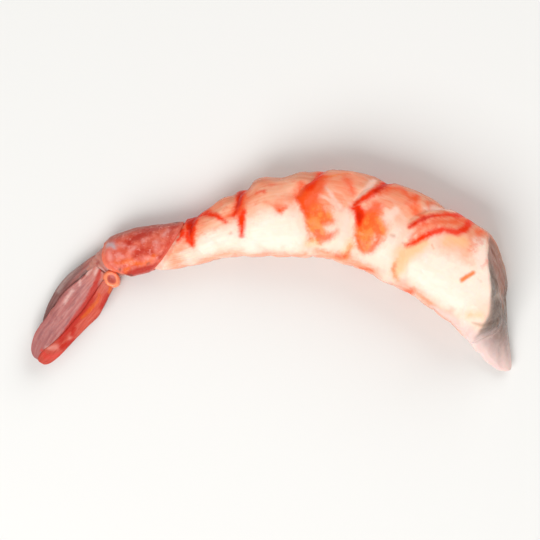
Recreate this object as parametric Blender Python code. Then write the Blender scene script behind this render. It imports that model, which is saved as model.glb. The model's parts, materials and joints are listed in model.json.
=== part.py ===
"""A peeled raw prawn with its tail shell and tail fan left on, lying on its side.

The whole prawn is drawn along one curved axis that lies level. A place on it has three measures: how far along the
axis from the cut at the head end, how far up towards the back, and how far out to the side. The back faces +Y, the
tail points to -X, and the side that shows is on top. A height of 1 is the back and -1 the belly.
"""

import bpy
import numpy as np

MM = 0.001

# The six segments of the abdomen, from the cut to the tail fan: length along the axis, depth from back to belly,
# width from side to side, and the angle at which the axis runs through it, in degrees from straight.
SEGMENTS = (
    ("first", 24.0 * MM, 19.8 * MM, 14.6 * MM, -34),
    ("second", 11.1 * MM, 19.1 * MM, 14.4 * MM, -21),
    ("third", 10.2 * MM, 18.3 * MM, 13.8 * MM, -5),
    ("fourth", 12.2 * MM, 16.7 * MM, 12.6 * MM, 13),
    ("fifth", 9.8 * MM, 10.2 * MM, 9.4 * MM, 21),
    ("sixth", 18.1 * MM, 8.7 * MM, 7.6 * MM, 4),
)
LENGTHS = np.array([row[1] for row in SEGMENTS])
SEAMS = np.cumsum(LENGTHS)
MIDDLES = SEAMS - LENGTHS / 2

# The closed tail fan hangs down from the end of the sixth segment.
FAN_START = SEAMS[-1]
FAN_LENGTH = 23.5 * MM
FAN_PLACES = (FAN_START, FAN_START + 9 * MM, FAN_START + 20.8 * MM, FAN_START + FAN_LENGTH)
FAN_DEPTHS = (8.7 * MM, 10.4 * MM, 6.3 * MM, 6.3 * MM)
FAN_WIDTHS = (6.9 * MM, 6.2 * MM, 6.2 * MM, 6.2 * MM)
HINGE = 2.2 * MM
HINGE_PLACES = (FAN_START - HINGE, FAN_START + HINGE, FAN_START + FAN_LENGTH)
HINGE_ANGLES = (29, 51, 59)

# Before the cut the axis bends on in the same way, which shapes the flap of belly flesh.
LEAD_IN = 10 * MM
LEAD_IN_ANGLE = -57

# The cut at the head end leans, so that the belly is left longer than the back and the far side than the near one.
CUT_LEAN = 9.2 * MM
CUT_LOWEST = -2.9 * MM
CUT_SOFTNESS = 0.8 * MM
CUT_SIDE_LEAN = 2.2 * MM
CUT_ROUNDING = 2.2 * MM
CUT_REACH = 16 * MM
CUT_BULGE = 1.4 * MM
CUT_RINGS = (0.25, 0.5, 0.75, 0.92)
MUSCLE_END = 5.0 * MM
MUSCLE_END_HEIGHT = 0.5 * MM
FLAP_LENGTH = 7.4 * MM
FLAP_TURN = 3.78
FLAP_SPREAD = 0.42

# The grooves between segments run down the sides in a bend that points to the tail.
SEAM_DEPTH = 0.95 * MM
SEAM_HEAD_SIDE = 0.9 * MM
SEAM_TAIL_SIDE = 2.3 * MM
SEAM_PEAK = 0.35
SEAM_BACK_SLANT = 0.62
SEAM_BELLY_SLANT = 0.2
SEAM_FADE_HEIGHTS = (-1, -0.4, 0.5, 1)
SEAM_FADE = (0.3, 1, 1, 0.45)
BELLY_GROOVE = 1.3 * MM
BELLY_GROOVE_ANGLE = 0.26

# The shell of the sixth segment is a sleeve over the end of the flesh, closed at the tail.
SHELL_FRONT = 71.7 * MM
SHELL_FRONT_LEAN = 3.8 * MM
SHELL_REAR_CURVE_BACK = 2.0 * MM
SHELL_REAR_CURVE_BELLY = 3.4 * MM
SHELL_WALL = 0.5 * MM
SHELL_SWELL = 0.25 * MM
SHELL_REAR_EDGE = 0.5 * MM
SOCKET_END = 79.0 * MM
GAP = 0.35 * MM
WAIST_LENGTH = 1.6 * MM
FLESH_END = SOCKET_END - 2 * GAP
FLESH_END_ROUNDING = 2.0 * MM

# Soft flesh flattens a little where it lies on the table, and the shell hardly does.
FLESH_FLAT = 0.6 * MM
SHELL_FLAT = 0.12 * MM

# The blades of the fan and the telson between them: where each starts and ends behind the shell, how far out it
# lies, its thickness at the root, and the heights of its lower and upper edge at five shares of its length.
SHARES = (0, 0.3, 0.6, 0.8, 1)
OUTER_BLADE = {
    "start": 1.2 * MM,
    "end": 23.5 * MM,
    "side": 2.2 * MM,
    "thickness": 1.0 * MM,
    "low": (-0.85, -1.0, -1.0, -1.0, -0.95),
    "high": (-0.3, -0.38, -0.42, -0.35, 0.1),
}
INNER_BLADE = {
    "start": 1.4 * MM,
    "end": 23.0 * MM,
    "side": 1.75 * MM,
    "thickness": 0.8 * MM,
    "low": (-0.6, -0.6, -0.62, -0.65, -0.6),
    "high": (0.1, 0.42, 0.66, 0.95, 1.0),
}
TELSON = {
    "start": 0.7 * MM,
    "end": 19.5 * MM,
    "low": (0.05, 0.22, 0.3, 0.4, 0.55),
    "high": (0.93, 1.0, 1.0, 1.0, 0.95),
}
TELSON_HALF_WIDTH = 1.0 * MM
TELSON_CHANNEL = 0.3 * MM
TIP_FROM = 0.8
BLADE_THINNING = 0.45
BLADE_CLOSING = 0.3
BLADE_CAMBER = 0.25 * MM
RIB_HEIGHT = 0.2 * MM
RIB_WIDTH = 0.25
KNOB_AT = 0.9 * MM
KNOB_UP = -2.7 * MM
KNOB_SIDE = 2.0 * MM
KNOB_RADII = (1.7 * MM, 1.6 * MM, 1.1 * MM)
KNOB_RINGS = (25, 50, 75, 100, 125, 155)

ROW_SPACING = 1.05 * MM
AROUND_BODY = 40
AROUND_SHELL = 30
AROUND_BLADE = 14
BLADE_ROWS = 18


def smooth_step(value):
    """0 below 0, 1 above 1, and a soft rise between."""
    value = np.clip(value, 0, 1)
    return value * value * (3 - 2 * value)


def smooth_profile(places, values, softness):
    """A function of the distance along the axis that runs softly through these values."""
    step = 0.1 * MM
    dense = np.arange(places[0], places[-1] + step, step)
    window = np.hanning(int(softness / step) | 1)
    padded = np.pad(np.interp(dense, places, values), len(window) // 2, mode="edge")
    softened = np.convolve(padded, window / window.sum(), mode="valid")
    return lambda along: np.interp(along, dense, softened)


def body_profiles():
    """Angle, depth and width along the axis, from before the cut to the tip of the fan."""
    names, lengths, depths, widths, angles = zip(*SEGMENTS)
    turns = [-LEAD_IN, *MIDDLES, *HINGE_PLACES]
    sizes = [-LEAD_IN, *MIDDLES, *FAN_PLACES]
    angle = smooth_profile(turns, [LEAD_IN_ANGLE, *angles, *HINGE_ANGLES], 3 * MM)
    depth = smooth_profile(sizes, [depths[0], *depths, *FAN_DEPTHS], 5 * MM)
    width = smooth_profile(sizes, [widths[0], *widths, *FAN_WIDTHS], 5 * MM)
    return angle, depth, width


AXIS_ANGLE, DEPTH, WIDTH = body_profiles()


def axis_line():
    """Points of the axis, found by walking along it from well before the cut."""
    step = 0.05 * MM
    along = np.arange(-2 * LEAD_IN, FAN_START + FAN_LENGTH + LEAD_IN, step)
    heading = np.radians(180 + AXIS_ANGLE(along))
    return along, np.cumsum(np.cos(heading)) * step, np.cumsum(np.sin(heading)) * step


AXIS_ALONG, AXIS_X, AXIS_Y = axis_line()


def middle_height(along):
    """How high the axis lies, so that each stretch of the prawn rests on the table."""
    flat = np.interp(along, [SEAMS[-3], SHELL_FRONT], [FLESH_FLAT, SHELL_FLAT])
    return WIDTH(along) / 2 - flat


def place(along, up, side):
    """The points at these measures, with none below the table."""
    heading = np.radians(180 + AXIS_ANGLE(along))
    x = np.interp(along, AXIS_ALONG, AXIS_X) + up * np.sin(heading)
    y = np.interp(along, AXIS_ALONG, AXIS_Y) - up * np.cos(heading)
    z = np.maximum(middle_height(along) + side, 0)
    return np.stack([x, y, z], axis=-1)


def around(count):
    """Angles round a section, from the back over the side that shows to the belly and on."""
    return np.arange(count) / count * 2 * np.pi


def body_section(angle, half_depth, half_width):
    """Up and side measures round a section: full at the back, flatter at the belly."""
    up = np.cos(angle)
    side = np.sign(np.sin(angle)) * np.abs(np.sin(angle)) ** np.where(up < 0, 0.78, 0.94)
    return up * half_depth, side * half_width


def rounding(share):
    """How much of an edge radius is taken off, from all of it at 0 to none at 1, as in a quarter circle."""
    return 1 - np.sqrt(1 - (1 - np.clip(share, 0, 1)) ** 2)


def cut_place(height, side):
    """Where the cut crosses the body at this height and side, both from -1 to 1."""
    lean = CUT_SOFTNESS * np.logaddexp(CUT_LEAN * height / CUT_SOFTNESS, CUT_LOWEST / CUT_SOFTNESS)
    return lean + CUT_SIDE_LEAN * side


def flap_reach(angle):
    """How far the flap of belly flesh on the far side sticks out past the cut."""
    return FLAP_LENGTH * np.exp(-(((angle - FLAP_TURN) / FLAP_SPREAD) ** 2))


def seam_groove(along, height):
    """How deep the grooves between the segments are at a place on the flesh."""
    groove = np.zeros(np.broadcast(along, height).shape)
    away_from_peak = height - SEAM_PEAK
    slant = np.where(away_from_peak > 0, SEAM_BACK_SLANT, SEAM_BELLY_SLANT) * away_from_peak**2
    for seam in SEAMS[:-1]:
        away = along - seam + slant * DEPTH(seam)
        reach = np.where(away < 0, SEAM_HEAD_SIDE, SEAM_TAIL_SIDE)
        groove = np.maximum(groove, np.exp(-((away / reach) ** 2)))
    size = DEPTH(along) / DEPTH(0)
    return SEAM_DEPTH * size * groove * np.interp(height, SEAM_FADE_HEIGHTS, SEAM_FADE)


def belly_groove(angle):
    """The channel along the middle of the belly."""
    return BELLY_GROOVE * np.exp(-(((angle - np.pi) / BELLY_GROOVE_ANGLE) ** 2))


def shell_front(height):
    """Where the front edge of the tail shell crosses the body at this height."""
    return SHELL_FRONT - SHELL_FRONT_LEAN * height


def shell_rear(height):
    """Where the rear edge of the tail shell crosses the body at this height."""
    curve = np.where(height > 0, SHELL_REAR_CURVE_BACK, SHELL_REAR_CURVE_BELLY)
    return FAN_START - curve * height**2


def flesh_row(share, angle):
    """One row of the flesh, this share of the way from the cut to the end in the shell's socket."""
    height = np.cos(angle)
    start = cut_place(height, np.sin(angle)) - flap_reach(angle)
    level = share * FLESH_END
    along = level + start * (1 - smooth_step(level / CUT_REACH))
    tuck = smooth_step((along - shell_front(height) + WAIST_LENGTH) / (WAIST_LENGTH - GAP))
    inset = (SHELL_WALL + GAP) * tuck + (seam_groove(along, height) + belly_groove(angle)) * (1 - tuck)
    inset = inset + CUT_ROUNDING * rounding((along - start) / CUT_ROUNDING)
    inset = inset + FLESH_END_ROUNDING * rounding((FLESH_END - along) / FLESH_END_ROUNDING)
    up, side = body_section(angle, DEPTH(along) / 2 - inset, WIDTH(along) / 2 - inset)
    return along, up, side


def flesh_rows():
    """The flesh in rows of points, from the middle of the cut face to its end in the shell's socket."""
    angle = around(AROUND_BODY)
    rim_along, rim_up, rim_side = flesh_row(0, angle)
    rows = []
    for share in CUT_RINGS:
        up, side = rim_up * share, rim_side * share
        lobes = np.cos(2 * np.pi * up / MUSCLE_END) * np.cos(2 * np.pi * side / MUSCLE_END + 1)
        out = CUT_BULGE * (1 - share**2) + MUSCLE_END_HEIGHT * lobes * (1 - share**4)
        face = cut_place(np.cos(angle) * share, np.sin(angle) * share) - flap_reach(angle) * share**6
        rows.append(place(face - out, up, side))
    count = int(round(FLESH_END / ROW_SPACING))
    for number in range(count + 1):
        rows.append(place(*flesh_row(number / count, angle)))
    return rows


def shell_rows():
    """The tail shell: down its socket, round the front rim, along the outside and over the rear."""
    angle = around(AROUND_SHELL)
    height = np.cos(angle)
    front, rear = shell_front(height), shell_rear(height)
    rows = []
    for share, deep in ((0.5, 1), (1, 1), (1, 0.75), (1, 0.5), (1, 0.25), (1, 0.02)):
        along = front + (SOCKET_END - front) * deep
        half_depth, half_width = DEPTH(along) / 2 - SHELL_WALL, WIDTH(along) / 2 - SHELL_WALL
        rows.append(place(along, *body_section(angle, half_depth * share, half_width * share)))
    count = int(round((FAN_START - SHELL_FRONT) / ROW_SPACING))
    for share in np.linspace(0, 1, count + 1):
        along = front + (rear - front) * share
        swell = SHELL_SWELL * np.sin(np.pi * share)
        edge = SHELL_REAR_EDGE * smooth_step((share - 0.9) / 0.1)
        half_depth, half_width = DEPTH(along) / 2 + swell - edge, WIDTH(along) / 2 - edge
        rows.append(place(along, *body_section(angle, half_depth, half_width)))
    for share in (0.7, 0.35):
        along = shell_rear(height * share)
        half_depth, half_width = DEPTH(rear) / 2 - SHELL_REAR_EDGE, WIDTH(rear) / 2 - SHELL_REAR_EDGE
        rows.append(place(along, *body_section(angle, half_depth * share, half_width * share)))
    return rows


def blade_shares():
    """Shares of a blade's length for its rows, closer together towards the tip."""
    return 0.985 * (1 - (1 - np.linspace(0, 1, BLADE_ROWS)) ** 1.5)


def blade_edges(blade, share):
    """Where a row lies along the axis, with the up measures of its middle and of half its depth."""
    along = FAN_START + blade["start"] + (blade["end"] - blade["start"]) * share
    low, high = np.interp(share, SHARES, blade["low"]), np.interp(share, SHARES, blade["high"])
    round_tip = 1 - (max(share - TIP_FROM, 0) / (1 - TIP_FROM)) ** 2.2
    half = (high - low) / 2 * round_tip ** (1 / 2.2)
    return along, (low + high) / 2 * DEPTH(along) / 2, half * DEPTH(along) / 2


def blade_rows(blade, hand):
    """A blade of the fan as rows round a thin section with a rib down its middle. The hand is 1 or -1."""
    angle = around(AROUND_BLADE)
    across = np.cos(angle)
    rows = []
    for share in blade_shares():
        along, middle, half = blade_edges(blade, share)
        thick = blade["thickness"] * (1 - BLADE_THINNING * share)
        out = np.sin(angle) * thick / 2 - BLADE_CAMBER * across**2
        out = out + RIB_HEIGHT * np.exp(-((across / RIB_WIDTH) ** 2)) * (np.sin(angle) > 0)
        side = blade["side"] * (1 - BLADE_CLOSING * share) + out
        rows.append(place(along, middle + across * half, hand * side))
    return rows if hand > 0 else [row[::-1] for row in rows]


def telson_rows():
    """The middle part of the fan, with a shallow channel down its back. Its root follows the rear of the shell."""
    angle = around(AROUND_BLADE)
    from_back = np.minimum(angle, 2 * np.pi - angle)
    rows = []
    for share in blade_shares():
        along, middle, half = blade_edges(TELSON, share)
        channel = TELSON_CHANNEL * np.exp(-((from_back / 0.5) ** 2)) * (1 - share)
        up = middle + np.cos(angle) * (half - channel)
        side = np.sin(angle) * TELSON_HALF_WIDTH * (1 - 0.5 * share)
        forward = (FAN_START - shell_rear(up / (DEPTH(along) / 2))) * (1 - smooth_step(share / 0.3))
        rows.append(place(along - forward, up, side))
    return rows


def knob_rows(hand):
    """The round joint that carries both blades of one side."""
    angle = around(AROUND_BLADE)
    rows = []
    for turn in np.radians(KNOB_RINGS):
        along = FAN_START + KNOB_AT - KNOB_RADII[0] * np.cos(turn)
        up = KNOB_UP + KNOB_RADII[1] * np.sin(turn) * np.cos(angle)
        side = KNOB_SIDE + KNOB_RADII[2] * np.sin(turn) * np.sin(angle)
        rows.append(place(along, up, hand * side))
    return rows if hand > 0 else [row[::-1] for row in rows]


def closed_mesh(name, rows):
    """A mesh that joins each row of points to the next and closes both ends at their middles."""
    count = len(rows[0])
    last = 1 + (len(rows) - 1) * count
    points = np.concatenate([rows[0].mean(0)[None], *rows, rows[-1].mean(0)[None]])
    faces = []
    for k in range(count):
        after = (k + 1) % count
        faces.append((0, 1 + k, 1 + after))
        faces.append((last + after, last + k, len(points) - 1))
        for here in range(1, last, count):
            there = here + count
            faces.append((here + k, there + k, there + after))
            faces.append((here + k, there + after, here + after))
    mesh = bpy.data.meshes.new(name)
    mesh.from_pydata(points.tolist(), [], faces)
    mesh.update()
    return mesh


def add_object(name, rows, material):
    """A smooth-shaded object from rows of points."""
    mesh = closed_mesh(name, rows)
    mesh.materials.append(material)
    mesh.shade_smooth()
    made = bpy.data.objects.new(name, mesh)
    bpy.context.scene.collection.objects.link(made)
    return made


def add_uropod(name, hand, material):
    """One side of the fan: a knob with an outer and an inner blade, joined into one solid."""
    made = add_object(name, knob_rows(hand), material)
    blades = bpy.data.collections.new(name + "_blades")
    for word, blade in (("outer", OUTER_BLADE), ("inner", INNER_BLADE)):
        shape = add_object(f"{name}_{word}", blade_rows(blade, hand), material)
        bpy.context.scene.collection.objects.unlink(shape)
        blades.objects.link(shape)
    bpy.context.scene.collection.children.link(blades)
    union = made.modifiers.new("join", "BOOLEAN")
    union.operation = "UNION"
    union.operand_type = "COLLECTION"
    union.collection = blades
    union.solver = "EXACT"
    bpy.context.view_layer.objects.active = made
    bpy.ops.object.modifier_apply(modifier=union.name)
    for shape in list(blades.objects):
        bpy.data.objects.remove(shape)
    bpy.data.collections.remove(blades)
    return made


def food_material(name, colour, roughness):
    """A plain wet finish in one colour."""
    material = bpy.data.materials.new(name)
    material.use_nodes = True
    shader = material.node_tree.nodes["Principled BSDF"]
    shader.inputs["Base Color"].default_value = (*colour, 1)
    shader.inputs["Roughness"].default_value = roughness
    shader.inputs["Metallic"].default_value = 0
    return material


def centre_over_origin(objects):
    """Moves every piece so that the middle of the whole prawn's outline is over the origin."""
    corners = [np.array([v.co for v in made.data.vertices]) for made in objects]
    low = np.min([c.min(0) for c in corners], axis=0)
    high = np.max([c.max(0) for c in corners], axis=0)
    middle = (low + high) / 2
    for made in objects:
        made.location = (-middle[0], -middle[1], 0)


def main():
    for old in list(bpy.data.objects):
        bpy.data.objects.remove(old)
    flesh_look = food_material("raw_flesh", (0.87, 0.55, 0.41), 0.35)
    shell_look = food_material("tail_shell", (0.53, 0.09, 0.06), 0.3)
    fan_look = food_material("tail_fan", (0.50, 0.16, 0.15), 0.3)
    pieces = [
        add_object("flesh", flesh_rows(), flesh_look),
        add_object("tail_shell", shell_rows(), shell_look),
        add_object("telson", telson_rows(), fan_look),
        add_uropod("uropod_near", 1, fan_look),
        add_uropod("uropod_far", -1, fan_look),
    ]
    centre_over_origin(pieces)


main()
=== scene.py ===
"""The look of a peeled raw prawn with its tail shell and tail fan left on, lying on its side.

The prawn is drawn along one curved axis. A place on it has three measures: how far along the axis from the cut at
the head end, how far up towards the back, and how far out to the side. A height of 1 is the back and -1 the belly.
Colour marks are kept as distances on the surface, which the materials turn into soft or ragged edges.
"""

import json

import bpy
import numpy as np
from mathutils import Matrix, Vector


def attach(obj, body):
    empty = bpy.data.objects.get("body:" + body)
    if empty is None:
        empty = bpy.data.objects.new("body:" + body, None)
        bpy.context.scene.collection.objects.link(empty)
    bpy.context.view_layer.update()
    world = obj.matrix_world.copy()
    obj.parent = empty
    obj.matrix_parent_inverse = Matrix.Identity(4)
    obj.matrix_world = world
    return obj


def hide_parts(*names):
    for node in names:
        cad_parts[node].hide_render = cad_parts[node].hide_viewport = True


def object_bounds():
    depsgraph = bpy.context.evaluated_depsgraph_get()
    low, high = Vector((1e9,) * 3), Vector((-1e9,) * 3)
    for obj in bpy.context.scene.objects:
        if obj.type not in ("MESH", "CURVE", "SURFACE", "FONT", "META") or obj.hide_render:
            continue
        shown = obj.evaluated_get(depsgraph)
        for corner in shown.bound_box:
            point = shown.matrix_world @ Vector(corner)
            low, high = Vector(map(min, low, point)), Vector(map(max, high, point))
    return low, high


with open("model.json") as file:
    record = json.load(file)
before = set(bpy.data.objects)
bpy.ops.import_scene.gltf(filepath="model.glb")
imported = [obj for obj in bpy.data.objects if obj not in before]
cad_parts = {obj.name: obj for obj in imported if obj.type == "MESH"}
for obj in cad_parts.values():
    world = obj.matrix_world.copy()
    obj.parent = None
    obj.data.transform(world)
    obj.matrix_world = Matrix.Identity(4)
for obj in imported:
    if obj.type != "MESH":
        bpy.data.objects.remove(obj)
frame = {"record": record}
CAD_LOW, CAD_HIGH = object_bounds()

MM = 0.001

# The body as the solids have it: length, depth, width and angle of each segment, from the cut to the fan.
SEGMENTS = (
    ("first", 24.0 * MM, 19.8 * MM, 14.6 * MM, -34),
    ("second", 11.1 * MM, 19.1 * MM, 14.4 * MM, -21),
    ("third", 10.2 * MM, 18.3 * MM, 13.8 * MM, -5),
    ("fourth", 12.2 * MM, 16.7 * MM, 12.6 * MM, 13),
    ("fifth", 9.8 * MM, 10.2 * MM, 9.4 * MM, 21),
    ("sixth", 18.1 * MM, 8.7 * MM, 7.6 * MM, 4),
)
LENGTHS = np.array([row[1] for row in SEGMENTS])
SEAMS = np.cumsum(LENGTHS)
MIDDLES = SEAMS - LENGTHS / 2
FAN_START = SEAMS[-1]
FAN_LENGTH = 23.5 * MM
FAN_PLACES = (FAN_START, FAN_START + 9 * MM, FAN_START + 20.8 * MM, FAN_START + FAN_LENGTH)
FAN_DEPTHS = (8.7 * MM, 10.4 * MM, 6.3 * MM, 6.3 * MM)
FAN_WIDTHS = (6.9 * MM, 6.2 * MM, 6.2 * MM, 6.2 * MM)
HINGE = 2.2 * MM
HINGE_PLACES = (FAN_START - HINGE, FAN_START + HINGE, FAN_START + FAN_LENGTH)
HINGE_ANGLES = (29, 51, 59)
LEAD_IN = 10 * MM
LEAD_IN_ANGLE = -57
MOUNT_AT = 40 * MM

# The cut at the head end and the flap of belly flesh on the far side.
CUT_LEAN = 9.2 * MM
CUT_LOWEST = -2.9 * MM
CUT_SOFTNESS = 0.8 * MM
CUT_SIDE_LEAN = 2.2 * MM
CUT_FAR_LEAN = 0.4 * MM
CUT_SHOULDER = 1.8 * MM
CUT_SHOULDER_HEIGHT = 0.74
CUT_SHOULDER_SPREAD = 0.36
CUT_ROUNDING = 1.5 * MM
CUT_REACH = 16 * MM
CUT_BULGE = 1.3 * MM
CUT_RAGGED = 0.45 * MM
CUT_EDGE_WIDTH = 0.5 * MM
MUSCLE_END_HEIGHT = 0.35 * MM
MUSCLE_SPLIT_UP = 2 * MM
MUSCLE_SPLIT_CURVE = 14 * MM
MEMBRANE_DEPTH = 0.45 * MM
MEMBRANE_WIDTH = 0.5 * MM
VEIN_UP = 7.2 * MM
VEIN_RADIUS = 0.55 * MM
VEIN_DEPTH = 0.5 * MM
FLAP_LENGTH = 7.5 * MM
FLAP_TURN = 3.95
FLAP_SPREAD = 0.42
FLAP_PALE_TURNS = (2.25, 4.6)
FLAP_PALE_END = 4.0 * MM
FLAP_PALE_FADE = 6 * MM

# The grooves between segments, and what rises between them.
SEAM_DEPTH = 0.9 * MM
SEAM_HEAD_SIDE = 0.8 * MM
SEAM_TAIL_SIDE = 2.2 * MM
SEAM_PEAK = 0.35
SEAM_BACK_SLANT = 0.62
SEAM_BELLY_SLANT = 0.2
SEAM_FADE_HEIGHTS = (-1, -0.4, 0.5, 1)
SEAM_FADE = (0.08, 0.35, 1, 0.5)
SEAM_WANDER = 0.5 * MM
CREASE_DEPTH = 0.22 * MM
CREASE_WIDTH = 0.2 * MM
PILLOW_RISE = 0.28 * MM
LUMP_RISE = 0.26 * MM
DENT_RISE = 0.09 * MM
FIBRE_RISE = 0.035 * MM
FIBRE_SLANT = 0.28
FIBRE_STRETCH = 0.16
# Dips in the back: place along, half length and depth.
BACK_DIPS = (
    (43.0 * MM, 0.9 * MM, 0.35 * MM),
    (47.4 * MM, 2.6 * MM, 1.25 * MM),
    (53.7 * MM, 0.9 * MM, 0.45 * MM),
    (56.6 * MM, 0.8 * MM, 0.35 * MM),
)
BACK_DIP_ANGLE = 0.75
BELLY_GROOVE = 1.2 * MM
BELLY_GROOVE_ANGLE = 0.26
BELLY_RIB_RISE = 0.45 * MM
BELLY_RIB_SPACING = 5.3 * MM
BELLY_RIB_BEND = 1.4 * MM
BELLY_RIB_ANGLE = 0.6
BELLY_CORD_RISE = 0.25 * MM
BELLY_CORD_ANGLE = 0.06
BELLY_EDGE_RISE = 0.4 * MM
BELLY_EDGE_AT = 0.62
BELLY_EDGE_ANGLE = 0.16

# The tail shell, a thin sleeve over the end of the flesh.
SHELL_FRONT = 71.7 * MM
SHELL_FRONT_LEAN = 3.8 * MM
SHELL_REAR_CURVE_BACK = 2.0 * MM
SHELL_REAR_CURVE_BELLY = 3.4 * MM
SHELL_WALL = 0.5 * MM
SHELL_RIM = 0.16 * MM
SHELL_RIM_LENGTH = 1.1 * MM
SHELL_SWELL = 0.25 * MM
SHELL_REAR_EDGE = 0.5 * MM
SHELL_KEEL = 0.22 * MM
SHELL_SIDE_RIDGE = 0.14 * MM
SHELL_SIDE_RIDGE_HEIGHT = -0.33
SHELL_FRONT_WAVE = 0.22 * MM
SHELL_FRONT_LIP = 0.06 * MM
SHELL_DENTS = 0.11 * MM
SHELL_PLEATS = 0.035 * MM
SOCKET_END = 79.0 * MM
# Rows down the socket, from its bottom up: share of its radius and share of its depth.
SOCKET_ROWS = ((0.5, 1), (1, 1), (1, 0.7), (1, 0.4), (1, 0.15), (1, 0.03))
GAP = 0.35 * MM
WAIST_LENGTH = 1.2 * MM
WAIST_INSET = 0.56 * MM
FLESH_END = SOCKET_END - 2 * GAP
FLESH_END_ROUNDING = 2.0 * MM
FLESH_FLAT = 0.6 * MM
SHELL_FLAT = 0.12 * MM

# The fan: the blades' places, edges at five shares of their length, and ribs by place across, width and rise.
SHARES = (0, 0.3, 0.6, 0.8, 1)
OUTER_BLADE = {
    "start": 1.0 * MM,
    "end": 23.5 * MM,
    "side": 2.25 * MM,
    "thickness": 0.85 * MM,
    "low": (-0.85, -1.0, -1.0, -1.0, -0.95),
    "high": (-0.3, -0.36, -0.36, -0.2, 0.45),
    "ribs": ((-0.82, 0.12, 0.16 * MM), (0.1, 0.12, 0.1 * MM), (0.78, 0.16, 0.3 * MM)),
}
INNER_BLADE = {
    "start": 1.2 * MM,
    "end": 23.3 * MM,
    "side": 1.75 * MM,
    "thickness": 0.7 * MM,
    "low": (-0.6, -0.6, -0.62, -0.75, -1.0),
    "high": (0.35, 0.58, 0.75, 1.0, 1.0),
    "ribs": ((-0.08, 0.07, 0.16 * MM), (0.1, 0.07, 0.13 * MM), (0.9, 0.1, 0.08 * MM)),
}
TELSON = {
    "start": 0.6 * MM,
    "end": 16.5 * MM,
    "low": (0.05, 0.3, 0.45, 0.55, 0.65),
    "high": (0.74, 1.0, 1.0, 1.0, 0.95),
}
TELSON_HALF_WIDTH = 1.0 * MM
TELSON_CHANNEL = 0.35 * MM
TELSON_LINE_RISE = 0.04 * MM
TIP_FROM = 0.8
TIP_POWER = 2.2
BLADE_THINNING = 0.45
BLADE_CLOSING = 0.3
BLADE_CAMBER = 0.25 * MM
BLADE_WAVE = 0.06 * MM
STRIA_RISE = 0.03 * MM
STRIA_COUNT = 17
KNOB_AT = 0.9 * MM
KNOB_UP = -2.7 * MM
KNOB_SIDE = 2.0 * MM
KNOB_RADII = (2.0 * MM, 1.9 * MM, 1.15 * MM)
KNOB_DIMPLE = 0.45 * MM
KNOB_RING = 0.16 * MM

# The soft skin in the bend between the shell and the fan.
SKIN_FRONT = FAN_START - 3.0 * MM
SKIN_LENGTH = 6.0 * MM

# The radius of each part when it is straightened, for unevenness that follows it round.
BODY_RADIUS = 8 * MM
SHELL_RADIUS = 4 * MM
SKIN_RADIUS = 3 * MM

# The depth of the fine relief that the light shows on every wet surface.
RIPPLE_DEPTH = 0.08 * MM

# The camera: its long lens, and the share of the picture's width that the prawn takes up.
LENS = 300
PICTURE_SHARE = 0.88

# How many points the surfaces have along and around.
FLESH_ROWS = 400
FLESH_AROUND = 220
CUT_RINGS = 36
SHELL_ROWS = 140
SHELL_END_ROWS = 10
SHELL_AROUND = 160
SKIN_ROWS = 32
SKIN_AROUND = 80
BLADE_ROWS = 160
BLADE_AROUND = 80
KNOB_RINGS = 28

# The largest distance to a mark that counts, in millimetres.
FARTHEST_MARK = 9.0

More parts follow.
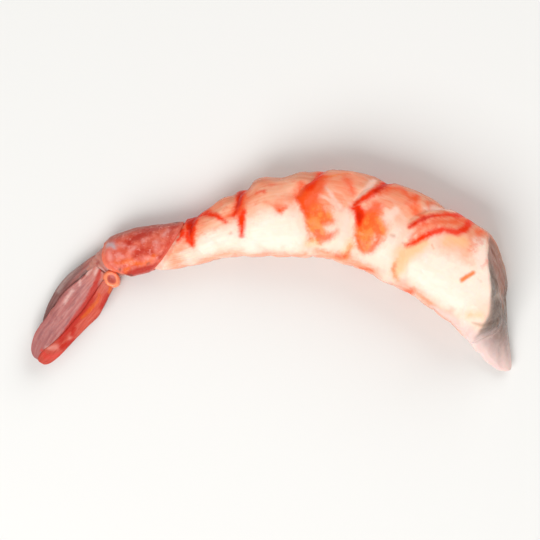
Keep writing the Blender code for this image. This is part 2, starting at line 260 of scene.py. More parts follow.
# Colour marks on the flesh, each a line of points: millimetres along, degrees round from the back, and half width in
# millimetres. A half width below 0 leaves only the soft edge of a mark.
FLESH_MARKS = {
    "scarlet": (
        ((24.6, 24, 0.2), (24.9, 32, 0.3)),
        ((43.1, 52, 0.9), (44.6, 67, 0.95), (44.2, 78, 0.65), (43.3, 92, 0.4)),
        ((47.4, 80, -0.1), (48.7, 82, 0.45), (49.5, 76, -0.3)),
    ),
    "red": (
        # The upper and the lower line of the first seam.
        ((15.6, 2, 1.05), (17.0, 24, 0.75), (18.9, 36, 0.5), (20.8, 48, 0.52), (22.5, 63, 0.58), (23.4, 73, 0.4)),
        ((14.1, 5, 0.7), (14.1, 38, 0.75), (15.2, 51, 0.7), (17.8, 58, 0.55)),
        ((17.8, 58, 0.6), (19.6, 72, 0.62), (21.6, 90, 0.48), (22.6, 96, 0.35)),
        # The second seam and the wedge at its end.
        ((30.0, 2, 1.0), (30.9, 27, 0.85), (31.6, 42, 0.75), (32.7, 55, 0.7), (34.6, 70, 0.6)),
        ((35.2, 75, 0.4), (34.0, 76, 0.9), (33.3, 82, 1.05), (32.9, 92, 0.6)),
        # The third seam near the back.
        ((41.0, 5, 0.5), (41.4, 30, 0.6), (42.3, 42, 0.75), (43.1, 52, 0.9)),
        # The fourth seam and its spike, with a small mark before it.
        ((51.0, 48, 0.2), (52.4, 47, 0.0)),
        ((54.9, 5, 0.9), (55.3, 30, 1.1), (56.0, 45, 0.85), (56.8, 58, 0.7), (57.6, 64, 0.5)),
        ((55.6, 70, 0.5), (56.4, 76, 0.7), (56.6, 88, 0.62), (57.3, 105, 0.38)),
        # The fifth seam with its branch, and the flesh at the front of the shell.
        ((63.2, 5, 1.5), (66.0, 15, 2.0), (66.2, 32, 1.7), (66.6, 55, 1.0), (67.4, 70, 1.05), (67.3, 102, 0.15)),
        ((62.5, 28, 0.8), (61.3, 45, 0.6), (60.2, 60, 0.5), (59.4, 73, 0.2)),
        ((68.6, 50, 0.8), (68.9, 66, 0.7), (70.0, 77, 0.35)),
    ),
    "deep": (
        ((20.4, 45, 0.1), (22.8, 65, 0.1), (23.5, 73, 0.1)),
        ((30.0, 5, 0.5), (31.0, 34, 0.5), (31.8, 46, 0.2)),
        ((34.0, 77, 0.1), (33.3, 84, 0.5), (33.0, 90, 0.1)),
        ((55.0, 5, 0.5), (55.4, 32, 0.7), (56.3, 50, 0.3)),
        ((64.6, 5, 0.8), (66.0, 18, 1.3), (66.5, 42, 0.8), (67.2, 66, 0.2)),
    ),
    "orange": (
        ((28.4, 92, 1.3), (30.4, 90, 2.0), (31.2, 101, 2.0), (30.2, 113, 1.3)),
        ((38.8, 95, 0.9), (40.9, 92, 1.9), (41.9, 102, 1.8), (40.8, 113, 1.3)),
        ((32.8, 118, 0.1), (34.0, 138, 0.4)),
        ((22.9, 118, 0.05), (22.7, 131, 0.25), (20.7, 141, 0.1)),
        ((42.4, 122, 0.2), (43.2, 124, 0.2)),
        ((37.0, 22, 0.2), (39.5, 34, 0.2)),
    ),
    "coral": (
        ((11.5, 20, 0.4), (11.8, 32, 0.5)),
        ((15.2, 20, 0.6), (16.5, 38, 0.6), (19.2, 52, 0.4), (21.6, 66, 0.3), (22.4, 88, 0.1)),
        ((22.0, 52, 0.3), (23.6, 50, 0.4), (24.4, 40, 0.3), (24.9, 28, 0.9)),
        ((21.6, 33, 0.1), (22.4, 27, 0.3)),
        ((25.4, 38, 0.3), (26.8, 30, 0.5), (27.6, 20, 0.6)),
        ((27.4, 20, 0.7), (29.6, 32, 0.6), (31.0, 50, 0.3)),
        ((30.6, 66, 1.0), (31.4, 76, 1.3), (32.6, 92, 1.1), (32.3, 106, 0.9)),
        ((28.0, 102, 0.6), (28.9, 116, 0.8), (30.4, 121, 0.8), (31.9, 114, 0.6)),
        ((36.8, 36, 0.6), (35.4, 53, 0.5)),
        ((40.6, 34, 0.9), (42.2, 60, 1.5), (43.0, 80, 1.3), (43.0, 92, 0.7), (42.6, 106, 0.4)),
        ((44.4, 44, 0.5), (45.2, 62, 0.5)),
        ((37.2, 108, 0.3), (38.8, 118, 0.6), (40.6, 121, 0.7), (42.4, 110, 0.6)),
        ((46.0, 74, -0.4), (47.6, 79, -0.1), (48.7, 82, 0.5), (50.0, 73, -0.1), (51.0, 66, -0.3)),
        ((54.0, 24, 0.8), (55.6, 45, 1.1), (56.4, 66, 0.9), (56.6, 82, 0.5)),
        ((57.4, 60, 0.6), (58.6, 62, 0.3)),
        ((62.5, 10, 1.4), (66.2, 25, 2.0), (66.6, 50, 1.3), (67.4, 78, 1.0)),
        ((16.8, 146, 0.6), (17.6, 162, 1.1)),
        ((26.8, 147, 0.2), (29.0, 156, 0.6)),
        ((33.6, 138, 0.4), (36.2, 142, 0.4)),
    ),
    "blush": (
        ((12.0, 24, 1.0), (13.0, 46, 0.6)),
        ((15.6, 26, 1.6), (18.4, 46, 1.6), (21.2, 66, 1.2)),
        ((24.5, 42, 2.2), (28.5, 42, 2.6), (29.6, 66, 1.6)),
        ((31.5, 82, 2.0), (30.8, 120, 1.4)),
        ((36.5, 28, 2.2), (39.5, 38, 2.2), (37.0, 60, 1.6), (40.0, 74, 1.4)),
        ((42.0, 60, 2.8), (41.5, 98, 2.4), (40.0, 118, 1.2)),
        ((46.5, 68, 1.2), (49.0, 74, 1.0)),
        ((52.5, 48, 1.2), (55.5, 50, 1.6), (58.5, 60, 1.0)),
        ((59.0, 12, 1.6), (62.0, 22, 2.0), (66.5, 50, 2.0), (67.5, 88, 0.9)),
        ((26.5, 146, 0.8), (30.0, 150, 1.2), (34.0, 142, 1.2), (37.5, 146, 1.2), (41.0, 140, 0.5)),
        ((12.0, 146, 0.7), (16.0, 143, 0.6)),
        ((69.2, 92, 0.8), (71.6, 106, 1.5), (71.0, 130, 1.3)),
        ((48.0, 40, 0.6), (51.0, 34, 0.8)),
        ((44.0, 146, 0.3), (50.0, 158, 0.2), (56.0, 150, 0.2), (61.0, 138, 0.4), (66.0, 142, 0.4)),
    ),
    "lavender": (
        ((-3.5, 142, 1.4), (1.5, 142, 1.3), (6.5, 147, 1.0), (11.0, 152, 0.5)),
    ),
    # Painted shade along the creases near the cut, where the flap meets the white flesh.
    "crease_shade": (
        ((-2.0, 118, 0.3), (0.2, 123, 0.35), (1.6, 128, 0.2)),
        ((1.4, 90, 0.35), (3.0, 82, 0.2)),
    ),
    "buff": (
        ((19.9, 84, 1.2), (22.1, 106, 1.6), (21.7, 128, 1.2)),
        ((13.2, 56, 0.8), (15.8, 66, 0.8)),
        ((33.4, 120, 0.7), (34.4, 134, 0.8)),
        ((41.5, 126, 0.8), (43.2, 130, 0.6)),
        ((1.6, 112, 0.3), (3.4, 124, 0.4)),
    ),
    # Pale pinkish-white bands of translucent flesh, made paler still by painted highlight.
    "pale": (
        ((17.6, 10, 0.6), (20.5, 25, 0.7), (22.6, 38, 0.3)),
        ((27.2, 62, 0.7), (28.5, 80, 0.8)),
        ((32.4, 18, 0.5), (33.2, 44, 0.5), (34.3, 58, 0.25)),
        ((35.9, 80, 0.4), (35.5, 95, 0.4), (35.8, 122, 0.6)),
        ((40.3, 53, 0.25), (38.9, 66, 0.3), (37.2, 77, 0.25)),
        ((40.2, 104, 0.2), (38.4, 107, 0.25)),
    ),
    # Where the painted highlights of folds run round, at the orange patches.
    "fold": (
        ((28.4, 92, 1.2), (30.4, 90, 1.9), (31.0, 101, 1.8), (30.0, 113, 1.1)),
        ((38.8, 95, 0.8), (40.9, 92, 1.8), (41.9, 102, 1.6), (40.6, 113, 1.1)),
    ),
    "dash": (
        ((8.4, 82, 0.34), (9.3, 96, 0.42)),
        ((17.4, 84, 0.05), (18.1, 81, 0.05)),
        ((22.4, 131, 0.2), (23.0, 129, 0.15)),
    ),
    "brown": (
        ((25.5, 92, 0.25), (26.2, 92, 0.2)),
        ((59.2, 96, 0.2), (59.5, 97, 0.15)),
        ((23.1, 95, 0.15), (23.4, 95, 0.15)),
    ),
    "white": (
        ((10.8, 42, 1.2), (8.0, 62, 2.2), (6.0, 82, 2.8)),
        ((4.0, 84, 2.0), (9.0, 104, 4.4), (15.5, 110, 3.6), (18.5, 115, 1.8)),
        ((25.4, 84, 0.5), (26.0, 112, 1.2)),
        ((47.5, 112, 3.2), (50.5, 108, 3.4), (55.0, 118, 2.6)),
        ((60.0, 104, 1.6), (63.0, 92, 1.2), (64.6, 112, 1.4)),
    ),
}
# The same for the tail shell.
SHELL_MARKS = {
    "orange": (
        ((83.2, 98, 0.25), (81.5, 106, 0.45), (80.0, 113, 0.6), (78.4, 121, 0.45)),
        ((81.0, 124, 0.3), (82.2, 130, 0.5)),
        ((75.0, 104, 0.25), (75.8, 118, 0.5), (78.0, 126, 0.4)),
    ),
    "red": (
        ((73.0, 24, 0.6), (76.0, 34, 1.1), (77.6, 48, 0.9), (79.4, 62, 0.5)),
        ((69.2, 30, 0.2), (70.9, 40, 0.4), (71.0, 46, 0.2)),
        ((75.0, 96, 0.3), (77.2, 90, 0.7), (79.0, 100, 0.3)),
        ((70.0, 78, 0.2), (72.6, 100, 0.25), (74.3, 112, 0.2)),
        ((74.0, 142, 0.9), (80.0, 150, 1.0), (83.0, 146, 0.9)),
    ),
    # Pale pink patches, painted as highlights on the wet shell.
    "pale": (
        ((71.6, 44, 0.4), (72.6, 56, 0.4)),
        ((74.2, 74, 0.55), (74.6, 88, 0.45)),
        ((81.0, 62, 0.2), (80.4, 66, 0.2)),
        ((78.4, 76, 0.2), (79.6, 84, 0.15)),
        ((82.0, 82, 0.3), (81.4, 92, 0.2)),
        ((76.0, 58, 0.1), (76.8, 64, 0.1)),
        ((83.4, 64, 0.2), (83.6, 80, 0.2)),
    ),
    # A pale grey patch near the rear of the back, painted as a highlight.
    "grey": (((83.2, 36, 0.4), (82.4, 48, 0.6), (82.1, 58, 0.35)),),
    "dark": (
        ((76.2, 123, 0.2), (76.5, 126, 0.15)),
        ((81.6, 160, 0.9), (83.2, 150, 0.7)),
        ((83.2, 119, 0.3), (83.4, 123, 0.2)),
        ((67.5, 5, 0.6), (69.5, 8, 0.5)),
    ),
}
# The same for the fan, where the degrees stand for a height on its flat side, from 0 at the back to 180 at the belly.
FAN_MARKS = {
    "red": (
        ((86.8, 88, 0.3), (89.5, 102, 0.6), (93.5, 113, 0.85), (96.0, 115, 0.8), (99.6, 113, 0.7)),
        ((99.6, 113, 0.7), (103.0, 118, 0.4)),
        ((99.4, 126, 0.5), (100.6, 140, 0.4)),
        ((104.0, 138, 0.6), (102.2, 155, 0.6), (101.4, 170, 0.5)),
        ((89.5, 150, 0.4), (92.5, 160, 0.5)),
    ),
    "tip": (((106.6, 84, 0.35), (107.2, 110, 0.6), (106.4, 135, 0.5), (105.0, 155, 0.3)),),
    "wine": (
        ((86.4, 50, 0.2), (92.0, 53, 0.35), (99.5, 48, 0.3)),
        ((86.2, 30, 0.4), (88.0, 25, 0.2)),
    ),
    "orange": (
        ((90.6, 124, 0.25), (92.0, 131, 0.3), (94.0, 127, 0.4), (96.6, 125, 0.25)),
        ((88.0, 140, 0.3), (89.0, 150, 0.3)),
    ),
    # Pale marks: those near the root are painted highlights, the others paler streaks and a paler pink patch near the
    # tip.
    "pale": (
        ((87.8, 62, 0.5), (88.8, 66, 0.35)),
        ((87.0, 80, 0.3), (87.8, 84, 0.35)),
        ((90.4, 60, 0.1), (91.6, 72, 0.12)),
        ((93.5, 66, 0.2), (96.0, 68, 0.25)),
        ((104.3, 126, 0.45), (105.0, 108, 0.5), (105.6, 94, 0.3)),
        ((101.0, 138, 0.2), (101.6, 142, 0.25)),
        ((88.5, 22, 0.3), (95.0, 30, 0.35)),
    ),
}


# Shapes along the axis


def smooth_step(value):
    """0 below 0, 1 above 1, and a soft rise between."""
    value = np.clip(value, 0, 1)
    return value * value * (3 - 2 * value)


def hump(value):
    """1 at 0, falling softly to nothing at about 2 on either side."""
    return np.exp(-(value**2))


def smooth_profile(places, values, softness):
    """A function of the distance along the axis that runs softly through these values."""
    step = 0.1 * MM
    dense = np.arange(places[0], places[-1] + step, step)
    window = np.hanning(int(softness / step) | 1)
    padded = np.pad(np.interp(dense, places, values), len(window) // 2, mode="edge")
    softened = np.convolve(padded, window / window.sum(), mode="valid")
    return lambda along: np.interp(along, dense, softened)


def body_profiles():
    """Angle, depth and width along the axis, from before the cut to the tip of the fan."""
    _, _, depths, widths, angles = zip(*SEGMENTS)
    turns = [-LEAD_IN, *MIDDLES, *HINGE_PLACES]
    sizes = [-LEAD_IN, *MIDDLES, *FAN_PLACES]
    angle = smooth_profile(turns, [LEAD_IN_ANGLE, *angles, *HINGE_ANGLES], 3 * MM)
    depth = smooth_profile(sizes, [depths[0], *depths, *FAN_DEPTHS], 5 * MM)
    width = smooth_profile(sizes, [widths[0], *widths, *FAN_WIDTHS], 5 * MM)
    return angle, depth, width


AXIS_ANGLE, DEPTH, WIDTH = body_profiles()


def axis_line():
    """Points of the axis. The record's resting face lies under the axis at a known place, which fixes it."""
    step = 0.05 * MM
    along = np.arange(-2 * LEAD_IN, FAN_START + FAN_LENGTH + LEAD_IN, step)
    heading = np.radians(180 + AXIS_ANGLE(along))
    x = np.cumsum(np.cos(heading)) * step
    y = np.cumsum(np.sin(heading)) * step
    rest = frame["record"]["mounts"][0]["pos_m"]
    x += rest[0] - np.interp(MOUNT_AT, along, x)
    y += rest[1] - np.interp(MOUNT_AT, along, y)
    return along, x, y


AXIS_ALONG, AXIS_X, AXIS_Y = axis_line()


def middle_height(along):
    """How high the axis lies, so that each stretch of the prawn rests on the table."""
    flat = np.interp(along, [SEAMS[-3], SHELL_FRONT], [FLESH_FLAT, SHELL_FLAT])
    return WIDTH(along) / 2 - flat


def place(along, up, side):
    """The points at these measures, with none below the table."""
    along, up, side = np.broadcast_arrays(along, up, side)
    heading = np.radians(180 + AXIS_ANGLE(along))
    x = np.interp(along, AXIS_ALONG, AXIS_X) + up * np.sin(heading)
    y = np.interp(along, AXIS_ALONG, AXIS_Y) - up * np.cos(heading)
    z = np.maximum(middle_height(along) + side, 0)
    return np.stack([x, y, z], axis=-1)


def around(count):
    """Angles round a section, from the back over the side that shows to the belly and on."""
    return np.arange(count) / count * 2 * np.pi


def off_back(angle):
    """How far round from the back an angle is, on either side."""
    return np.minimum(angle, 2 * np.pi - angle)


def body_section(angle, half_depth, half_width):
    """Up and side measures round a section: full at the back, flatter at the belly."""
    up = np.cos(angle)
    side = np.sign(np.sin(angle)) * np.abs(np.sin(angle)) ** np.where(up < 0, 0.78, 0.94)
    return up * half_depth, side * half_width


def rounding(share):
    """How much of an edge radius is taken off, from all of it at 0 to none at 1, as in a quarter circle."""
    return 1 - np.sqrt(1 - (1 - np.clip(share, 0, 1)) ** 2)


def cut_place(height, side):
    """Where the cut crosses the body at this height and side, both from -1 to 1. The far side sticks out most."""
    lean = CUT_SOFTNESS * np.logaddexp(CUT_LEAN * height / CUT_SOFTNESS, CUT_LOWEST / CUT_SOFTNESS)
    shoulder = CUT_SHOULDER * hump((height - CUT_SHOULDER_HEIGHT) / CUT_SHOULDER_SPREAD)
    return lean + CUT_SIDE_LEAN * side - (CUT_FAR_LEAN + shoulder) * np.clip(-side, 0, 1)


def flap_reach(angle):
    """How far the flap of belly flesh on the far side sticks out past the cut."""
    return FLAP_LENGTH * hump((angle - FLAP_TURN) / FLAP_SPREAD)


def seam_place(along, height):
    """The place along, moved so that each bent seam has the same place from back to belly."""
    away = height - SEAM_PEAK
    slant = np.where(away > 0, SEAM_BACK_SLANT, SEAM_BELLY_SLANT) * away**2
    return along + slant * DEPTH(along)


def shell_front(height):
    """Where the front edge of the tail shell crosses the body at this height."""
    return SHELL_FRONT - SHELL_FRONT_LEAN * height


def shell_rear(height):
    """Where the rear edge of the tail shell crosses the body at this height."""
    curve = np.where(height > 0, SHELL_REAR_CURVE_BACK, SHELL_REAR_CURVE_BELLY)
    return FAN_START - curve * height**2


# Unevenness


def corner_value(x, y, z, seed):
    """A fixed value from -1 to 1 for each whole-number corner of space."""
    mixed = (x * 374761393 + y * 668265263 + z * 2147483647 + seed * 144665) & 0xFFFFFFFF
    mixed = ((mixed ^ (mixed >> 13)) * 1274126177) & 0xFFFFFFFF
    return (mixed ^ (mixed >> 16)) / 0xFFFFFFFF * 2 - 1


def unevenness(points, size, seed):
    """Soft random rises and dips from -1 to 1 that are about this far apart."""
    scaled = points / size
    whole = np.floor(scaled).astype(np.int64)
    part = smooth_step(scaled - whole)
    total = np.zeros(points.shape[:-1])
    for corner in range(8):
        step = np.array([corner & 1, (corner >> 1) & 1, corner >> 2])
        weight = np.prod(np.where(step == 1, part, 1 - part), axis=-1)
        at = whole + step
        total += weight * corner_value(at[..., 0], at[..., 1], at[..., 2], seed)
    return total


def rough_unevenness(points, size, seed):
    """Unevenness at this size with finer unevenness on it."""
    fine = unevenness(points, size * 0.47, seed + 1) * 0.5 + unevenness(points, size * 0.21, seed + 2) * 0.25
    return (unevenness(points, size, seed) + fine) / 1.5


def straightened(along, angle, radius):
    """Points of the body as if its axis were straight, for unevenness that follows the body round."""
    along, angle, radius = np.broadcast_arrays(along, angle, radius)
    return np.stack([along, np.cos(angle) * radius, np.sin(angle) * radius], axis=-1)


def mark_distance(marks, along, angle, spread):
    """How far each point is outside the nearest of these marks, in millimetres, negative inside one.

    The spread turns an angle at a place along the body into a distance round it or across it."""
    nearest = np.full(np.broadcast(along, angle).shape, FARTHEST_MARK)
    for mark in marks:
        for (from_along, from_turn, from_half), (to_along, to_turn, to_half) in zip(mark[:-1], mark[1:]):
            run = (to_along - from_along) * MM
            from_round, to_round = spread(along, np.radians(from_turn)), spread(along, np.radians(to_turn))
            rise = to_round - from_round
            across, down = along - from_along * MM, spread(along, angle) - from_round
            share = np.clip((across * run + down * rise) / (run**2 + rise**2 + 1e-12), 0, 1)
            distance = np.hypot(across - run * share, down - rise * share) / MM
            nearest = np.minimum(nearest, distance - from_half - (to_half - from_half) * share)
    return nearest


def round_body(along, angle):
    """The distance round the body from the back to this angle."""
    return angle * (DEPTH(along) + WIDTH(along)) / 4


def down_fan(along, angle):
    """The distance down the flat fan from its back edge to this angle's height."""
    return (1 - np.cos(angle)) * DEPTH(along) / 2


def both_sides(along, angle):
    """Places for marks on both sides. The far side has the same marks a little moved, so that the sides differ."""
    near = angle <= np.pi
    turn = np.where(near, angle, np.minimum((2 * np.pi - angle) * 1.06, np.pi))
    return np.where(near, along, along + 1.1 * MM * np.sin(along / (3.1 * MM))), turn


def body_marks(marks, along, angle):
    """The distance to each colour's marks, for a piece that goes round the body."""
    moved, turn = both_sides(along, angle)
    return {word + "_mark": mark_distance(lines, moved, turn, round_body) for word, lines in marks.items()}


def fan_marks(along, up):
    """The distance to each colour's marks, for a flat piece of the fan."""
    angle = np.arccos(np.clip(up / (DEPTH(along) / 2), -1, 1))
    return {word + "_mark": mark_distance(lines, along, angle, down_fan) for word, lines in FAN_MARKS.items()}


# Meshes


def lofted(name, points, measures):
    """A smooth mesh through rows of points, its ends closed at their middles, with measures kept on its points."""
    rows, count = points.shape[:2]
    corner = np.arange(rows * count).reshape(rows, count)
    following = np.roll(corner, -1, axis=1)
    quads = np.stack([corner[:-1], corner[1:], following[1:], following[:-1]], axis=-1).reshape(-1, 4)
    faces = quads.tolist()
    ends = (0, rows - 1)
    for end, row in enumerate(ends):
        middle = rows * count + end
        pairs = zip(corner[row], following[row]) if end == 0 else zip(following[row], corner[row])
        faces += [(middle, int(a), int(b)) for a, b in pairs]
    every = [points.reshape(-1, 3)] + [points[row].mean(0)[None] for row in ends]
    mesh = bpy.data.meshes.new(name)
    mesh.from_pydata(np.concatenate(every).tolist(), [], faces)
    for word, values in measures.items():
        add_measure(mesh, word, values, ends)
    mesh.shade_smooth()
    mesh.update()
    made = bpy.data.objects.new(name, mesh)
    bpy.context.scene.collection.objects.link(made)
    return made


def add_measure(mesh, word, values, ends):
    """Keeps a number or a vector on each point of the mesh, for its material to read."""
    vector = values.ndim == 3
    flat = values.reshape(-1, 3) if vector else values.reshape(-1)
    middles = [values[row].mean(0)[None] for row in ends]
    every = np.concatenate([flat, *(m if vector else m.reshape(1) for m in middles)])
    kept = mesh.attributes.new(word, "FLOAT_VECTOR" if vector else "FLOAT", "POINT")
    kept.data.foreach_set("vector" if vector else "value", every.astype(np.float32).ravel())


def flipped(points, measures):
    """The same rows the other way round, for a piece on the far side."""
    return points[:, ::-1], {word: values[:, ::-1] for word, values in measures.items()}


def joined(name, pieces):
    """One object out of several, each keeping its own material."""
    bpy.ops.object.select_all(action="DESELECT")
    for piece in pieces:
        piece.select_set(True)
    bpy.context.view_layer.objects.active = pieces[0]
    bpy.ops.object.join()
    pieces[0].name = name
    return pieces[0]


# The flesh


def flesh_relief(along, angle, straight):
    """How far the flesh stands out from its plain form, and how deep in a seam each point is."""
    height = np.cos(angle)
    wander = SEAM_WANDER * unevenness(straight, 3.5 * MM, 11)
    seam_at = seam_place(along, height) + wander
    groove = np.zeros(seam_at.shape)
    crease = np.zeros(seam_at.shape)
    pillow = np.zeros(seam_at.shape)
    for number, seam in enumerate(SEAMS[:-1]):
        away = seam_at - seam
        reach = np.where(away < 0, SEAM_HEAD_SIDE, SEAM_TAIL_SIDE)
        groove = np.maximum(groove, hump(away / reach))
        crease = np.maximum(crease, hump(away / CREASE_WIDTH))
        share = np.clip((seam_at - seam) / LENGTHS[number + 1], 0, 1)
        pillow += np.sin(np.pi * share) ** 0.8
    fade = np.interp(height, SEAM_FADE_HEIGHTS, SEAM_FADE)
    size = DEPTH(along) / DEPTH(0)
    relief = PILLOW_RISE * pillow * size - SEAM_DEPTH * size * groove * fade
    relief -= CREASE_DEPTH * crease * fade * (0.6 + 0.4 * unevenness(straight, 2.2 * MM, 12))
    relief += LUMP_RISE * rough_unevenness(straight, 5.5 * MM, 21)
    relief += DENT_RISE * rough_unevenness(straight, 1.9 * MM, 31)
    relief += FIBRE_RISE * fibres(along, angle)
    relief += belly_relief(along, angle, straight)
    for at, half_length, depth in BACK_DIPS:
        relief -= depth * hump((along - at) / half_length) * hump(off_back(angle) / BACK_DIP_ANGLE)
    return relief, groove * fade


def fibres(along, angle):
    """Fine ridges of muscle that run along the body and slant a little towards back and belly."""
    height = np.cos(angle)
    slant = FIBRE_SLANT * np.tanh(2 * height) * np.interp(along, SEAMS, np.tile([0, BODY_RADIUS], 3))
    lines = straightened(along * FIBRE_STRETCH, angle, BODY_RADIUS)
    lines[..., 1] += slant
    return unevenness(lines, 0.55 * MM, 41) + 0.6 * unevenness(lines, 0.3 * MM, 42)


def belly_relief(along, angle, straight):
    """The channel down the belly with a rib in each segment, and the thick wavy edges on either side of it."""
    off_belly = angle - np.pi
    channel = BELLY_GROOVE * hump(off_belly / BELLY_GROOVE_ANGLE)
    bent = along + BELLY_RIB_BEND * np.cos(4 * off_belly)
    bands = np.abs(np.sin(np.pi * bent / BELLY_RIB_SPACING)) ** 0.6 - 0.7
    ribs = BELLY_RIB_RISE * bands * hump(off_belly / BELLY_RIB_ANGLE)
    cord = BELLY_CORD_RISE * hump(off_belly / BELLY_CORD_ANGLE)
    edges = BELLY_EDGE_RISE * hump((np.abs(off_belly) - BELLY_EDGE_AT) / BELLY_EDGE_ANGLE)
    scallops = 0.6 + 0.4 * np.sin(np.pi * along / BELLY_RIB_SPACING + 0.6)
    ragged = 0.3 * unevenness(straight, 1.4 * MM, 51)
    return ribs + cord - channel + edges * (scallops + ragged)


def flesh_body(share, angle):
    """Measures of the flesh from the cut to its end in the shell's socket."""
    height = np.cos(angle)
    ragged = CUT_RAGGED * rough_unevenness(straightened(0.0, angle, BODY_RADIUS), 2.6 * MM, 61)
    start = cut_place(height, np.sin(angle)) - flap_reach(angle) + ragged
    level = share * FLESH_END
    along = level + start * (1 - smooth_step(level / CUT_REACH))
    straight = straightened(along, angle, BODY_RADIUS)
    tuck = smooth_step((along - shell_front(height) + WAIST_LENGTH) / WAIST_LENGTH)
    relief, groove = flesh_relief(along, angle, straight)
    inset = WAIST_INSET * tuck - relief * (1 - tuck)
    inset = inset + CUT_ROUNDING * rounding((along - start) / CUT_ROUNDING)
    inset = inset + FLESH_END_ROUNDING * rounding((FLESH_END - along) / FLESH_END_ROUNDING)
    up, side = body_section(angle, DEPTH(along) / 2 - inset, WIDTH(along) / 2 - inset)
    return along, up, side, groove * (1 - tuck), along - start


def cut_face(share, angle, rim_up, rim_side):
    """Measures of the cut face: four bundles of muscle with membranes between them, in fine ragged ends."""
    up, side = rim_up * share, rim_side * share
    straight = np.stack([np.zeros(up.shape), up, side], axis=-1)
    between_sides = hump(side / MEMBRANE_WIDTH)
    between_back_and_belly = hump((up - MUSCLE_SPLIT_UP + side**2 / MUSCLE_SPLIT_CURVE) / MEMBRANE_WIDTH)
    membrane = np.maximum(between_sides, between_back_and_belly) * (1 - share**4)
    out = CUT_BULGE * (1 - share**2) - MEMBRANE_DEPTH * membrane
    out = out + MUSCLE_END_HEIGHT * rough_unevenness(straight, 1.3 * MM, 71) * (1 - share**6)
    vein = hump(np.hypot(up - VEIN_UP, side) / VEIN_RADIUS)
    out = out - VEIN_DEPTH * vein
    face = cut_place(np.cos(angle) * share, np.sin(angle) * share) - flap_reach(angle) * share**3
    return face - out, up, side, membrane, vein


def flap_paleness(along, angle):
    """How much of the flap's paler colour a point of the body has."""
    start, end = FLAP_PALE_TURNS
    across = smooth_step((angle - start) / 0.4) * smooth_step((end - angle) / 0.5)
    return across * smooth_step((FLAP_PALE_END - along) / FLAP_PALE_FADE)


def make_flesh():
    """The peeled flesh, in one piece: the cut face from its middle outwards, then the body from the cut on."""
    angle = around(FLESH_AROUND)[None]
    share = np.linspace(0, 1, FLESH_ROWS)[:, None]
    along, up, side, groove, from_cut = flesh_body(share, angle)
    rings = np.linspace(0.03, 0.985, CUT_RINGS)[:, None] * np.ones(angle.shape)
    face_along, face_up, face_side, membrane, vein = cut_face(rings, angle, up[:1], side[:1])
    ragged = along[:1] - (cut_place(np.cos(angle), np.sin(angle)) - flap_reach(angle))
    body_ones = np.ones(along.shape)
    every_along = np.concatenate([face_along + ragged * rings**6, along])
    every_angle = np.broadcast_to(angle, every_along.shape)
    every_up = np.concatenate([face_up, up])
    every_side = np.concatenate([face_side, side])
    radius = BODY_RADIUS * np.concatenate([rings, body_ones])
    outer = np.concatenate([rings**2, body_ones])
    measures = {
        "straight": straightened(every_along, every_angle, radius) / MM,
        "turn": np.degrees(off_back(every_angle)),
        "cut": np.concatenate([np.ones(rings.shape), hump(from_cut / CUT_EDGE_WIDTH)]),
        "rim": outer,
        "flap": flap_paleness(every_along, every_angle) * outer,
        "groove": np.concatenate([membrane, groove]),
        "vein": np.concatenate([vein, 0 * body_ones]),
        **body_marks(FLESH_MARKS, every_along, every_angle),
    }
    return lofted("prawn_flesh", place(every_along, every_up, every_side), measures)


# The tail shell


def shell_surface(share, angle, front, rear):
    """Measures of the outside of the shell, with its keel, side ridge and thin front rim."""
    height = np.cos(angle)
    along = front + (rear - front) * share
    straight = straightened(along, angle, SHELL_RADIUS)
    keel = SHELL_KEEL * hump(off_back(angle) / 0.22) * smooth_step(share / 0.3)
    ridge = SHELL_SIDE_RIDGE * hump((height - SHELL_SIDE_RIDGE_HEIGHT) / 0.16) * smooth_step(share / 0.2)
    edge = SHELL_REAR_EDGE * smooth_step((share - 0.9) / 0.1)
    rim = (SHELL_WALL - SHELL_RIM) * (1 - smooth_step((along - front) / SHELL_RIM_LENGTH)) * 0.7
    out = SHELL_SWELL * np.sin(np.pi * share) + keel + ridge - edge - rim
    out = out + SHELL_DENTS * rough_unevenness(straight, 1.9 * MM, 81)
    out = out + SHELL_PLEATS * unevenness(straight * (0.12, 1, 1), 0.5 * MM, 82)
    return along, *body_section(angle, DEPTH(along) / 2 + out, WIDTH(along) / 2 + out - keel)


